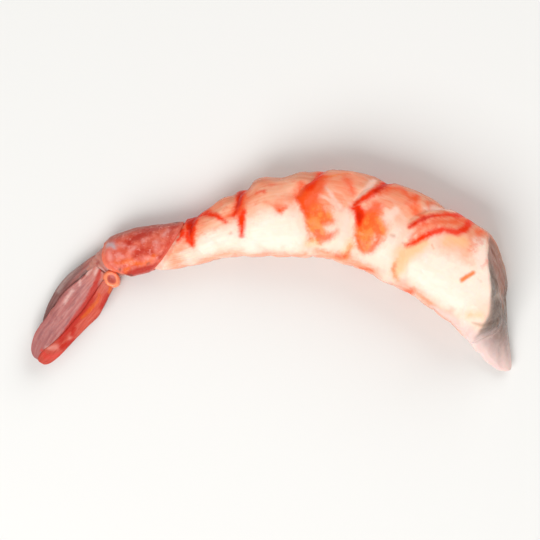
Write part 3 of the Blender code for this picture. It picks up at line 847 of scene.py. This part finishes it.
def make_shell():
    """The shell of the sixth segment: down its socket, round the front rim, along the outside, over the rear."""
    angle = around(SHELL_AROUND)[None]
    height = np.cos(angle)
    wavy = SHELL_FRONT_WAVE * unevenness(straightened(0.0, angle, SHELL_RADIUS), 2.0 * MM, 83)
    front, rear = shell_front(height) + wavy, shell_rear(height)
    rows = []
    for inward, deep in SOCKET_ROWS:
        along = front + (SOCKET_END - front) * deep
        half_depth, half_width = DEPTH(along) / 2 - SHELL_WALL, WIDTH(along) / 2 - SHELL_WALL
        rows.append((along, *body_section(angle, half_depth * inward, half_width * inward)))
    rim_inset = SHELL_WALL - SHELL_RIM / 2
    rim = body_section(angle, DEPTH(front) / 2 - rim_inset, WIDTH(front) / 2 - rim_inset)
    rows.append((front - SHELL_FRONT_LIP, *rim))
    outside = np.linspace(0, 1, SHELL_ROWS)[:, None]
    along, up, side = shell_surface(outside, angle, front, rear)
    rows += [(along[row], up[row], side[row]) for row in range(SHELL_ROWS)]
    end_shares = np.linspace(0.95, 0.1, SHELL_END_ROWS)
    half_depth, half_width = DEPTH(rear) / 2 - SHELL_REAR_EDGE, WIDTH(rear) / 2 - SHELL_REAR_EDGE
    for share in end_shares:
        rows.append((shell_rear(height * share), *body_section(angle, half_depth * share, half_width * share)))
    along, up, side = (np.stack([np.broadcast_to(row[k], angle.shape)[0] for row in rows]) for k in range(3))
    every_angle = np.broadcast_to(angle, along.shape)
    radius = SHELL_RADIUS * np.concatenate([np.ones(len(rows) - SHELL_END_ROWS), end_shares])[:, None]
    measures = {
        "straight": straightened(along, every_angle, radius) / MM,
        "turn": np.degrees(off_back(every_angle)),
        "from_front": (along - front) / MM,
        "from_rear": (rear - along) / MM,
        **body_marks(SHELL_MARKS, along, every_angle),
    }
    return lofted("prawn_tail_shell", place(along, up, side), measures)


# The tail fan


def blade_shares():
    """Shares of a blade's length for its rows, closer together towards the tip."""
    return 0.995 * (1 - (1 - np.linspace(0, 1, BLADE_ROWS)) ** 1.6)


def blade_edges(blade, share):
    """Where a row lies along the axis, with the up measures of its middle and of half its depth."""
    length = blade["end"] - blade["start"]
    at = np.array(SHARES) * length
    low = smooth_profile(at, blade["low"], 3 * MM)(share * length)
    high = smooth_profile(at, blade["high"], 3 * MM)(share * length)
    along = FAN_START + blade["start"] + length * share
    round_tip = 1 - (np.maximum(share - TIP_FROM, 0) / (1 - TIP_FROM)) ** TIP_POWER
    half = (high - low) / 2 * round_tip ** (1 / TIP_POWER)
    return along, (low + high) / 2 * DEPTH(along) / 2, half * DEPTH(along) / 2


def fan_measures(straight, across, share, along, up):
    """What the materials of the fan need to know about each point."""
    return {
        "straight": straight / MM,
        "across": np.broadcast_to(across, up.shape),
        "share": np.broadcast_to(share, up.shape),
        **fan_marks(along, up),
    }


def make_blade(name, blade, hand, seed):
    """A blade of the fan: a thin plate with ribs and fine lines along it and a slightly wavy edge."""
    angle = around(BLADE_AROUND)[None]
    share = blade_shares()[:, None]
    across = np.cos(angle)
    outside = smooth_step(np.sin(angle) * 3 + 0.5)
    along, middle, half = blade_edges(blade, share)
    straight = np.stack(np.broadcast_arrays(along, across * 4 * MM, np.sin(angle) * MM), axis=-1)
    thick = blade["thickness"] * (1 - BLADE_THINNING * share)
    out = np.sign(np.sin(angle)) * np.abs(np.sin(angle)) ** 0.7 * thick / 2 - BLADE_CAMBER * across**2
    for rib_across, width, rise in blade["ribs"]:
        out = out + rise * hump((across - rib_across) / width) * outside * (1 - 0.6 * share)
    lines = np.cos(across * STRIA_COUNT * np.pi + 2 * unevenness(straight, 6 * MM, seed))
    out = out + STRIA_RISE * lines * outside + BLADE_WAVE * unevenness(straight, 2.5 * MM, seed + 1)
    wavy = 1 + 0.035 * unevenness(straight * (1, 0, 0), 1.6 * MM, seed + 2)
    side = blade["side"] * (1 - BLADE_CLOSING * share) + out
    up = middle + across * half * wavy
    points = place(along, up, hand * side)
    measures = fan_measures(straight, across, share, along, up)
    if hand < 0:
        points, measures = flipped(points, measures)
    return lofted(name, points, measures)


def make_telson():
    """The middle part of the fan, with a channel down its back and a ridge on each side of it."""
    angle = around(BLADE_AROUND)[None]
    across = np.cos(angle)
    share = blade_shares()[:, None]
    along, middle, half = blade_edges(TELSON, share)
    straight = np.stack(np.broadcast_arrays(along, across * 3 * MM, np.sin(angle) * 2 * MM), axis=-1)
    channel = TELSON_CHANNEL * hump(off_back(angle) / 0.42) * (1 - share)
    lines = TELSON_LINE_RISE * np.cos(off_back(angle) * 9 + unevenness(straight, 5 * MM, 91))
    up = middle + across * (half - channel + 0.05 * MM * unevenness(straight, 2 * MM, 92))
    side = np.sin(angle) * (TELSON_HALF_WIDTH * (1 - 0.5 * share) + lines)
    forward = (FAN_START - shell_rear(up / (DEPTH(along) / 2))) * (1 - smooth_step(share / 0.3))
    points = place(along - forward, up, side)
    return lofted("prawn_telson", points, fan_measures(straight, across, share, along, up))


def make_knob(name, hand):
    """The round joint that carries both blades of one side, with a ring round a dimple on its outer face."""
    angle = around(BLADE_AROUND)[None]
    turn = np.linspace(0.04, np.pi - 0.04, KNOB_RINGS)[:, None]
    ring = KNOB_RING * hump((turn - 0.85) / 0.2)
    dimple = KNOB_DIMPLE * hump(turn / 0.55)
    outward, rearward, upward = np.cos(turn), np.sin(turn) * np.cos(angle), np.sin(turn) * np.sin(angle)
    straight = np.stack(np.broadcast_arrays(outward, rearward, upward), axis=-1)
    swell = 1 + 0.04 * unevenness(straight, 0.5, 95)
    along = FAN_START + KNOB_AT + KNOB_RADII[0] * rearward * swell
    up = KNOB_UP + KNOB_RADII[1] * upward * swell
    side = KNOB_SIDE + KNOB_RADII[2] * outward + ring - dimple
    points = place(along, up, hand * side)
    measures = {
        "straight": straight * KNOB_RADII[0] / MM,
        "share": np.broadcast_to(turn / np.pi, points.shape[:2]),
    }
    if hand < 0:
        points, measures = flipped(points, measures)
    return lofted(name, points, measures)


def make_joint_skin():
    """The soft skin between the shell and the fan, which fills the bend."""
    angle = around(SKIN_AROUND)[None]
    share = np.linspace(0, 1, SKIN_ROWS)[:, None]
    along = SKIN_FRONT + SKIN_LENGTH * share
    straight = straightened(along, angle, SKIN_RADIUS)
    size = 0.86 - 0.24 * share + 0.04 * unevenness(straight, 1.5 * MM, 97) + 0.015 * np.cos(share * 40)
    up, side = body_section(angle, DEPTH(along) / 2 * size, WIDTH(along) / 2 * size * (1 - 0.25 * share))
    return lofted("prawn_joint_skin", place(along, up, side), {"straight": straight / MM})


# Material parts


def colour(red, green, blue):
    """A colour as seen on screen, from 0 to 255, as the light it stands for."""
    seen = np.array([red, green, blue]) / 255
    light = np.where(seen <= 0.04045, seen / 12.92, ((seen + 0.055) / 1.055) ** 2.4)
    return (*light.tolist(), 1)


def put(socket, value):
    """Sets a socket to a value, or links it where the value is another node's output."""
    if isinstance(value, bpy.types.NodeSocket):
        socket.node.id_data.links.new(value, socket)
    else:
        socket.default_value = value


def measure(tree, word, vector=False):
    """A measure kept on the mesh."""
    node = tree.nodes.new("ShaderNodeAttribute")
    node.attribute_name = word
    return node.outputs["Vector" if vector else "Fac"]


def maths(tree, operation, first, second=0.0):
    """One sum on two values."""
    node = tree.nodes.new("ShaderNodeMath")
    node.operation = operation
    put(node.inputs[0], first)
    put(node.inputs[1], second)
    return node.outputs[0]


def fade(tree, value, start, end, low=0.0, high=1.0):
    """A soft change from low, where the value is at start, to high, where it is at end."""
    node = tree.nodes.new("ShaderNodeMapRange")
    node.interpolation_type = "SMOOTHSTEP"
    settings = {"Value": value, "From Min": start, "From Max": end, "To Min": low, "To Max": high}
    for name, setting in settings.items():
        put(node.inputs[name], setting)
    return node.outputs["Result"]


def blended(tree, share, under, over):
    """One colour over another."""
    node = tree.nodes.new("ShaderNodeMix")
    node.data_type = "RGBA"
    put(node.inputs[0], share)
    put(node.inputs[6], under)
    put(node.inputs[7], over)
    return node.outputs[2]


def enlarged(tree, where, *factors):
    """A place times one factor or three, which makes what is drawn at it that much finer."""
    node = tree.nodes.new("ShaderNodeVectorMath")
    node.operation = "MULTIPLY"
    put(node.inputs[0], where)
    node.inputs[1].default_value = factors if len(factors) == 3 else factors * 3
    return node.outputs[0]


def speckle(tree, where, size, detail=3.0, roughness=0.55, stretch=(1, 1, 1)):
    """Cloudy variation from 0 to 1, about this many millimetres apart, stretched along the body if asked."""
    node = tree.nodes.new("ShaderNodeTexNoise")
    put(node.inputs["Vector"], enlarged(tree, where, *(1 / (size * s) for s in stretch)))
    node.inputs["Scale"].default_value = 1
    node.inputs["Detail"].default_value = detail
    node.inputs["Roughness"].default_value = roughness
    return node.outputs["Fac"]


def use_group(tree, group, **settings):
    """Places a node group with these inputs, and gives back its outputs by name."""
    node = tree.nodes.new("ShaderNodeGroup")
    node.node_tree = group
    for name, value in settings.items():
        put(node.inputs[name], value)
    return node.outputs


def new_group(name, inputs, outputs):
    """An empty node group with named sockets, numbers (f) or places (v), and its input and output nodes."""
    group = bpy.data.node_groups.new(name, "ShaderNodeTree")
    kinds = {"f": "NodeSocketFloat", "v": "NodeSocketVector"}
    for word, kind in inputs:
        group.interface.new_socket(name=word, in_out="INPUT", socket_type=kinds[kind])
    for word, kind in outputs:
        group.interface.new_socket(name=word, in_out="OUTPUT", socket_type=kinds[kind])
    return group, group.nodes.new("NodeGroupInput").outputs, group.nodes.new("NodeGroupOutput").inputs


def ragged_mark_group():
    """A mark's mask from the distance to it, with an edge that wanders and is more or less soft."""
    inputs = (("Distance", "f"), ("Where", "v"), ("Wander", "f"), ("Softness", "f"))
    group, given, out = new_group("ragged mark", inputs, (("Mask", "f"),))
    coarse = maths(group, "SUBTRACT", speckle(group, given["Where"], 1.4), 0.5)
    fine = maths(group, "SUBTRACT", speckle(group, given["Where"], 0.45), 0.5)
    uneven = maths(group, "ADD", coarse, maths(group, "MULTIPLY", fine, 0.5))
    moved = maths(group, "ADD", given["Distance"], maths(group, "MULTIPLY", uneven, given["Wander"]))
    half = maths(group, "MULTIPLY", given["Softness"], 0.5)
    put(out["Mask"], fade(group, moved, half, maths(group, "MULTIPLY", half, -1.0)))
    return group


def mottling_group():
    """Patches of pigment, with finer patches at their edges."""
    inputs = (("Where", "v"), ("Amount", "f"), ("Softness", "f"))
    group, given, out = new_group("mottling", inputs, (("Mask", "f"),))
    cloud = speckle(group, given["Where"], 2.1, detail=4.0, roughness=0.62)
    level = maths(group, "SUBTRACT", 1.0, given["Amount"])
    put(out["Mask"], fade(group, cloud, level, maths(group, "ADD", level, given["Softness"])))
    return group


def fold_highlights_group():
    """Painted highlight on folds that run round a mark, one behind another: pale along their ridges, fading away from
    the mark.
    """
    group, given, out = new_group("folds", (("Distance", "f"), ("Where", "v")), (("Mask", "f"),))
    uneven = maths(group, "MULTIPLY", speckle(group, given["Where"], 3.0), 2.6)
    wave = maths(group, "SINE", maths(group, "MULTIPLY", maths(group, "ADD", given["Distance"], uneven), 2.7))
    ridge = fade(group, wave, -0.3, 1.0)
    put(out["Mask"], maths(group, "MULTIPLY", ridge, fade(group, given["Distance"], 5.5, 1.5)))
    return group


def muscle_lines_group():
    """Fine lines of muscle or shell that run along the body, as a light and dark mask and as a height."""
    group, given, out = new_group("muscle lines", (("Where", "v"),), (("Streak", "f"), ("Height", "f")))
    wide = speckle(group, given["Where"], 0.55, detail=2.0, stretch=(9, 1, 1))
    narrow = speckle(group, given["Where"], 0.22, detail=2.0, stretch=(12, 1, 1))
    coarse, fine = maths(group, "MULTIPLY", wide, 0.6), maths(group, "MULTIPLY", narrow, 0.4)
    put(out["Streak"], fade(group, wide, 0.35, 0.65))
    put(out["Height"], maths(group, "ADD", coarse, fine))
    return group


def wet_film_group():
    """A film of water: smooth where it pools, duller where it is thin, with tiny ripples."""
    inputs = (("Where", "v"), ("Wettest", "f"), ("Driest", "f"))
    group, given, out = new_group("wet film", inputs, (("Roughness", "f"), ("Height", "f")))
    pools = speckle(group, given["Where"], 3.2, detail=4.0)
    share = fade(group, pools, 0.38, 0.62)
    spread = maths(group, "SUBTRACT", given["Driest"], given["Wettest"])
    rough = maths(group, "ADD", given["Wettest"], maths(group, "MULTIPLY", spread, share))
    put(out["Roughness"], rough)
    put(out["Height"], speckle(group, given["Where"], 0.6, detail=4.0))
    return group


def new_material(name, roughness=0.35):
    """A material with an empty skin shader, and its node tree."""
    material = bpy.data.materials.new(name)
    material.use_nodes = True
    shader = material.node_tree.nodes["Principled BSDF"]
    shader.inputs["Roughness"].default_value = roughness
    return material, material.node_tree, shader


def soft_inside(shader, weight, reach):
    """Lets light sink in and scatter, red the furthest."""
    shader.subsurface_method = "RANDOM_WALK"
    shader.inputs["Subsurface Weight"].default_value = weight
    shader.inputs["Subsurface Radius"].default_value = (1.0, 0.42, 0.28)
    shader.inputs["Subsurface Scale"].default_value = reach


def bumped(tree, height, strength, distance):
    """A normal from a height."""
    node = tree.nodes.new("ShaderNodeBump")
    node.inputs["Strength"].default_value = strength
    node.inputs["Distance"].default_value = distance
    put(node.inputs["Height"], height)
    return node.outputs["Normal"]


# Materials

# Each kind of mark: its colour, how strongly it covers, and in millimetres how far its edge wanders and how soft it is.
FLESH_PAINTS = {
    "white": (colour(250, 226, 211), 0.9, 2.6, 3.0),
    "blush": (colour(244, 136, 94), 0.85, 2.2, 2.8),
    "buff": (colour(250, 190, 134), 0.75, 1.6, 2.2),
    # Pale bands: translucent flesh with painted highlight on it.
    "pale": (colour(250, 214, 198), 0.7, 0.8, 1.0),
    "coral": (colour(242, 92, 44), 0.92, 1.2, 1.9),
    "brown": (colour(190, 138, 104), 0.6, 0.3, 0.7),
    "lavender": (colour(236, 200, 192), 0.8, 0.8, 1.6),
    # Painted shade along the creases near the cut.
    "crease_shade": (colour(178, 146, 118), 0.7, 0.5, 0.8),
    "dash": (colour(242, 128, 66), 0.95, 0.4, 0.7),
    "scarlet": (colour(242, 82, 26), 1.0, 0.9, 1.2),
    "red": (colour(238, 52, 0), 1.0, 0.9, 1.2),
    "deep": (colour(190, 18, 0), 0.75, 0.9, 1.2),
}
SHELL_PAINTS = {
    "red": (colour(180, 34, 16), 0.78, 1.6, 1.2),
    # Pale: painted highlights.
    "pale": (colour(230, 154, 144), 0.7, 1.6, 1.1),
    "orange": (colour(224, 94, 26), 0.94, 1.2, 1.0),
    # Grey: a painted highlight.
    "grey": (colour(190, 168, 172), 0.94, 1.2, 1.3),
    "dark": (colour(112, 42, 28), 0.75, 0.8, 0.8),
}
FAN_PAINTS = {
    "wine": (colour(156, 92, 86), 0.7, 0.7, 0.6),
    "tip": (colour(206, 66, 54), 0.85, 1.0, 0.7),
    "orange": (colour(216, 96, 36), 0.85, 0.7, 0.6),
}
# The colours of each kind of fan piece: plain, its streaks, its dark patches, its red marks and its pale marks, partly
# painted highlights.
FAN_COLOURS = {
    "telson": ((130, 91, 86), (158, 124, 118), (108, 66, 64), (144, 60, 52), (166, 140, 134)),
    "inner blade": ((180, 110, 105), (206, 150, 143), (144, 86, 87), (186, 46, 32), (228, 188, 178)),
    "outer blade": ((202, 80, 62), (214, 114, 94), (178, 56, 44), (184, 34, 20), (222, 142, 128)),
}


def painted(tree, groups, skin, where, paints, *words):
    """Lays marks over the skin, one kind after another, with edges that wander."""
    ragged = groups["ragged mark"]
    for word in words:
        over, strength, wander, softness = paints[word]
        distance = measure(tree, word + "_mark")
        mask = use_group(tree, ragged, Distance=distance, Where=where, Wander=wander, Softness=softness)["Mask"]
        skin = blended(tree, maths(tree, "MULTIPLY", mask, strength), skin, over)
    return skin


def wet_surface(tree, shader, groups, where, relief, wettest, driest, strength):
    """Gives a shader its wet shine, and a fine relief with ripples of water over it."""
    film = use_group(tree, groups["wet film"], Where=where, Wettest=wettest, Driest=driest)
    put(shader.inputs["Roughness"], film["Roughness"])
    ripples = maths(tree, "MULTIPLY", film["Height"], 0.5)
    height = maths(tree, "ADD", maths(tree, "MULTIPLY", relief, 0.7), ripples)
    put(shader.inputs["Normal"], bumped(tree, height, strength, RIPPLE_DEPTH))


def cut_look(tree, where):
    """The colour of the cut face: grey, darkened as painted shade, warmer near the back, with pale skins between its
    muscles and a dark vein.
    """
    ends = speckle(tree, where, 0.7, detail=4.0, stretch=(1, 1.4, 1))
    # Painted shade: the grey of the cut face is darkened as the shade of a face turned away from the light.
    skin = blended(tree, fade(tree, ends, 0.38, 0.64), colour(66, 57, 53), colour(108, 95, 88))
    near_back = fade(tree, measure(tree, "turn"), 62.0, 25.0, 0.0, 0.65)
    skin = blended(tree, near_back, skin, colour(168, 118, 104))
    skin = blended(tree, fade(tree, measure(tree, "rim"), 0.7, 1.0, 0.0, 0.32), skin, colour(186, 156, 143))
    skin = blended(tree, maths(tree, "MULTIPLY", measure(tree, "groove"), 0.5), skin, colour(196, 176, 164))
    return blended(tree, maths(tree, "MULTIPLY", measure(tree, "vein"), 0.75), skin, colour(92, 62, 48))


def flesh_material(groups):
    """Creamy raw flesh, peach towards the back, with red seams, orange patches and a grey cut end, and with painted
    shade on the belly edge, the creases and the cut end and painted highlight on folds and pale bands.
    """
    material, tree, shader = new_material("raw flesh")
    where = measure(tree, "straight", vector=True)
    cloud = maths(tree, "SUBTRACT", speckle(tree, where, 4.0), 0.5)
    turn = maths(tree, "ADD", measure(tree, "turn"), maths(tree, "MULTIPLY", cloud, 60.0))
    lines = use_group(tree, groups["muscle lines"], Where=where)
    clotted = fade(tree, speckle(tree, where, 1.5), 0.36, 0.62)
    clotted = blended(tree, clotted, colour(240, 96, 24), colour(248, 134, 56))
    paints = {**FLESH_PAINTS, "orange": (clotted, 0.92, 1.4, 1.9)}

    skin = blended(tree, fade(tree, turn, 98.0, 52.0), colour(248, 210, 191), colour(242, 172, 138))
    skin = blended(tree, fade(tree, turn, 50.0, 16.0, 0.0, 0.85), skin, colour(206, 120, 88))
    skin = painted(tree, groups, skin, where, paints, "white")
    # Painted shade: pinker and darker towards the belly edge, where the body curves away from the light.
    skin = blended(tree, fade(tree, turn, 130.0, 164.0, 0.0, 0.85), skin, colour(220, 148, 124))
    skin = painted(tree, groups, skin, where, paints, "blush")
    # Painted highlight: pale ridges of folds round the orange patches.
    folds = use_group(tree, groups["folds"], Distance=measure(tree, "fold_mark"), Where=where)["Mask"]
    folds = maths(tree, "MULTIPLY", folds, fade(tree, turn, 30.0, 55.0, 0.0, 0.55))
    skin = blended(tree, folds, skin, colour(252, 212, 192))
    mottled = use_group(tree, groups["mottling"], Where=where, Amount=0.47, Softness=0.16)["Mask"]
    redder = maths(tree, "MULTIPLY", mottled, fade(tree, turn, 95.0, 55.0, 0.04, 0.5))
    skin = blended(tree, redder, skin, colour(236, 102, 66))
    skin = blended(tree, maths(tree, "MULTIPLY", lines["Streak"], 0.16), skin, colour(254, 220, 196))
    # The pale bands painted here include painted highlight.
    skin = painted(tree, groups, skin, where, paints, "buff", "pale", "coral", "orange", "brown", "lavender")
    # The crease marks near the cut, painted here, are painted shade.
    skin = painted(tree, groups, skin, where, paints, "crease_shade", "dash", "scarlet", "red", "deep")
    skin = blended(tree, maths(tree, "MULTIPLY", measure(tree, "cut"), 0.85), skin, cut_look(tree, where))
    skin = blended(tree, maths(tree, "MULTIPLY", measure(tree, "flap"), 0.85), skin, colour(236, 208, 202))
    put(shader.inputs["Base Color"], skin)

    soft_inside(shader, 0.5, 0.6 * MM)
    shader.inputs["Specular IOR Level"].default_value = 0.15
    wet_surface(tree, shader, groups, where, lines["Height"], 0.1, 0.28, 0.6)
    return material


def shell_material(groups):
    """Thin wet shell, mottled red over pink, with an orange streak low on its side, pale patches painted as highlights,
    and an underside darkened to brick red as painted shade.
    """
    material, tree, shader = new_material("tail shell")
    where = measure(tree, "straight", vector=True)
    finer = enlarged(tree, where, 2.2)
    turn = measure(tree, "turn")
    lines = use_group(tree, groups["muscle lines"], Where=where)
    cloud = fade(tree, speckle(tree, where, 1.8), 0.35, 0.65)
    skin = blended(tree, cloud, colour(206, 78, 54), colour(224, 114, 92))
    mottled = use_group(tree, groups["mottling"], Where=where, Amount=0.5, Softness=0.12)["Mask"]
    skin = blended(tree, maths(tree, "MULTIPLY", mottled, 0.5), skin, colour(196, 48, 28))
    skin = blended(tree, maths(tree, "MULTIPLY", lines["Streak"], 0.12), skin, colour(226, 130, 108))
    skin = blended(tree, fade(tree, turn, 42.0, 12.0, 0.0, 0.7), skin, colour(150, 80, 68))
    # Painted shade: darker brick red towards the underside, where the shell curves away from the light.
    skin = blended(tree, fade(tree, turn, 124.0, 142.0, 0.0, 0.85), skin, colour(180, 62, 46))
    skin = painted(tree, groups, skin, where, SHELL_PAINTS, "red")
    specks = use_group(tree, groups["mottling"], Where=finer, Amount=0.44, Softness=0.1)["Mask"]
    specks = maths(tree, "MULTIPLY", specks, fade(tree, turn, 128.0, 112.0, 0.0, 0.6))
    skin = blended(tree, specks, skin, colour(230, 142, 130))
    # The pale and grey marks painted here are painted highlights.
    skin = painted(tree, groups, skin, where, SHELL_PAINTS, "pale", "orange", "grey", "dark")
    rear = fade(tree, measure(tree, "from_rear"), 1.2, 0.3, 0.0, 0.7)
    skin = blended(tree, rear, skin, colour(230, 120, 90))
    front = fade(tree, measure(tree, "from_front"), 0.8, 0.1, 0.0, 0.75)
    skin = blended(tree, front, skin, colour(212, 92, 72))
    put(shader.inputs["Base Color"], skin)

    soft_inside(shader, 0.3, 0.6 * MM)
    shader.inputs["Specular IOR Level"].default_value = 0.35
    wet_surface(tree, shader, groups, where, lines["Height"], 0.24, 0.46, 0.7)
    return material


def joint_material(groups):
    """Soft dull pink skin with fine cross folds."""
    material, tree, shader = new_material("joint skin")
    where = measure(tree, "straight", vector=True)
    mottled = use_group(tree, groups["mottling"], Where=where, Amount=0.5, Softness=0.15)["Mask"]
    put(shader.inputs["Base Color"], blended(tree, mottled, colour(190, 124, 110), colour(164, 86, 76)))
    lines = use_group(tree, groups["muscle lines"], Where=where)
    soft_inside(shader, 0.4, 0.6 * MM)
    wet_surface(tree, shader, groups, where, lines["Height"], 0.2, 0.4, 0.7)
    return material


def fan_material(name, groups):
    """A thin ribbed piece of the fan: streaks along it, with red, orange and pale marks, the pale ones near the root
    painted highlights.
    """
    plain, streak, dark, red, pale = (colour(*seen) for seen in FAN_COLOURS[name])
    paints = {**FAN_PAINTS, "pale": (pale, 0.75, 0.9, 0.9), "red": (red, 0.85, 1.0, 0.7)}
    material, tree, shader = new_material(name)
    where = measure(tree, "straight", vector=True)
    lines = use_group(tree, groups["muscle lines"], Where=where)
    skin = blended(tree, maths(tree, "MULTIPLY", lines["Streak"], 0.5), plain, streak)
    broad = fade(tree, speckle(tree, where, 1.0, detail=3.0, stretch=(4, 1, 1)), 0.45, 0.68)
    skin = blended(tree, maths(tree, "MULTIPLY", broad, 0.6), skin, dark)
    mottled = use_group(tree, groups["mottling"], Where=where, Amount=0.44, Softness=0.12)["Mask"]
    skin = blended(tree, maths(tree, "MULTIPLY", mottled, 0.4), skin, dark)
    greyer = fade(tree, measure(tree, "share"), 0.3, 1.0, 0.0, 0.45)
    skin = blended(tree, greyer, skin, dark)
    root = fade(tree, measure(tree, "share"), 0.22, 0.02, 0.0, 0.6)
    skin = blended(tree, root, skin, colour(208, 128, 112))
    rim = fade(tree, maths(tree, "ABSOLUTE", measure(tree, "across")), 0.88, 0.99)
    skin = blended(tree, maths(tree, "MULTIPLY", rim, 0.35), skin, red)
    # The pale marks near the root, painted here, are painted highlights.
    skin = painted(tree, groups, skin, where, paints, "pale", "wine", "tip", "red", "orange")
    put(shader.inputs["Base Color"], skin)
    soft_inside(shader, 0.25, 0.4 * MM)
    shader.inputs["Specular IOR Level"].default_value = 0.3
    wet_surface(tree, shader, groups, where, lines["Height"], 0.2, 0.42, 0.8)
    return material


def knob_material(groups):
    """A coral joint, pinker in its dimple and darker there as painted shade in the hollow."""
    material, tree, shader = new_material("knob")
    where = measure(tree, "straight", vector=True)
    mottled = use_group(tree, groups["mottling"], Where=where, Amount=0.48, Softness=0.15)["Mask"]
    skin = blended(tree, maths(tree, "MULTIPLY", mottled, 0.6), colour(250, 140, 98), colour(236, 106, 70))
    # Painted shade: the dimple's middle is darker, as shade in the hollow, as well as pinker.
    middle = fade(tree, measure(tree, "share"), 0.24, 0.12, 0.0, 0.9)
    skin = blended(tree, middle, skin, colour(174, 64, 58))
    put(shader.inputs["Base Color"], skin)
    lines = use_group(tree, groups["muscle lines"], Where=where)
    soft_inside(shader, 0.3, 0.5 * MM)
    wet_surface(tree, shader, groups, where, lines["Height"], 0.2, 0.4, 0.6)
    return material


def floor_material():
    """A plain pale surface."""
    material, tree, shader = new_material("pale floor", roughness=0.7)
    shader.inputs["Base Color"].default_value = colour(226, 225, 222)
    shader.inputs["Specular IOR Level"].default_value = 0.2
    return material


# The scene


def dress(piece, material, slot, *nodes):
    """Gives a piece its material, if one is given, puts it under the root body and hides the solids that it takes the
    place of.
    """
    if material:
        piece.data.materials.clear()
        piece.data.materials.append(material)
    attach(piece, "root")
    if nodes:
        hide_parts(*nodes)


def make_uropod(name, hand, looks):
    """One side of the fan: the outer blade, the inner blade and the knob that carries them, each in its own look."""
    outer = make_blade(name + "_outer", OUTER_BLADE, hand, 101 if hand > 0 else 131)
    inner = make_blade(name + "_inner", INNER_BLADE, hand, 111 if hand > 0 else 141)
    pieces = [outer, inner, make_knob(name + "_knob", hand)]
    for piece, look in zip(pieces, looks):
        piece.data.materials.append(look)
    return joined(name, pieces)


def make_floor():
    """A wide pale floor under the prawn."""
    bpy.ops.mesh.primitive_plane_add(size=3, location=(0, 0, 0))
    floor = bpy.context.object
    floor.name = "floor"
    floor.data.materials.append(floor_material())


def add_light(name, power, size, position):
    """A soft square light that points at the prawn."""
    data = bpy.data.lights.new(name, "AREA")
    data.energy = power
    data.size = size
    lamp = bpy.data.objects.new(name, data)
    lamp.location = position
    away = np.array(position) / np.linalg.norm(position)
    lamp.rotation_euler = (np.arctan2(np.hypot(away[0], away[1]), away[2]), 0, np.arctan2(away[0], -away[1]))
    bpy.context.scene.collection.objects.link(lamp)


def light_scene():
    """Soft light from the belly side, a weaker one from the back's side, and an even grey surround."""
    add_light("main_light", 4.85, 0.5, (-0.22, -0.44, 0.5))
    add_light("side_light", 2.15, 0.55, (0.28, 0.42, 0.42))
    world = bpy.data.worlds.new("surround")
    world.use_nodes = True
    world.node_tree.nodes["Background"].inputs["Color"].default_value = (1, 1, 1, 1)
    world.node_tree.nodes["Background"].inputs["Strength"].default_value = 0.38
    bpy.context.scene.world = world
    bpy.context.scene.view_settings.view_transform = "Standard"


def add_camera():
    """A camera straight above, as in the photograph, with the prawn across most of the picture."""
    data = bpy.data.cameras.new("camera")
    data.lens = LENS
    camera = bpy.data.objects.new("camera", data)
    across = (CAD_HIGH[0] - CAD_LOW[0]) / PICTURE_SHARE
    camera.location = (0, 0, across * data.lens / data.sensor_width)
    bpy.context.scene.collection.objects.link(camera)
    bpy.context.scene.camera = camera


def main():
    groups = {
        "ragged mark": ragged_mark_group(),
        "mottling": mottling_group(),
        "folds": fold_highlights_group(),
        "muscle lines": muscle_lines_group(),
        "wet film": wet_film_group(),
    }
    looks = [fan_material("outer blade", groups), fan_material("inner blade", groups), knob_material(groups)]
    dress(make_flesh(), flesh_material(groups), "raw_flesh", "flesh")
    dress(make_shell(), shell_material(groups), "tail_shell", "tail_shell")
    dress(make_joint_skin(), joint_material(groups), "tail_shell")
    dress(make_telson(), fan_material("telson", groups), "tail_fan", "telson")
    dress(make_uropod("prawn_uropod_near", 1, looks), None, "tail_fan", "uropod_near")
    dress(make_uropod("prawn_uropod_far", -1, looks), None, "tail_fan", "uropod_far")
    make_floor()
    light_scene()
    add_camera()


main()
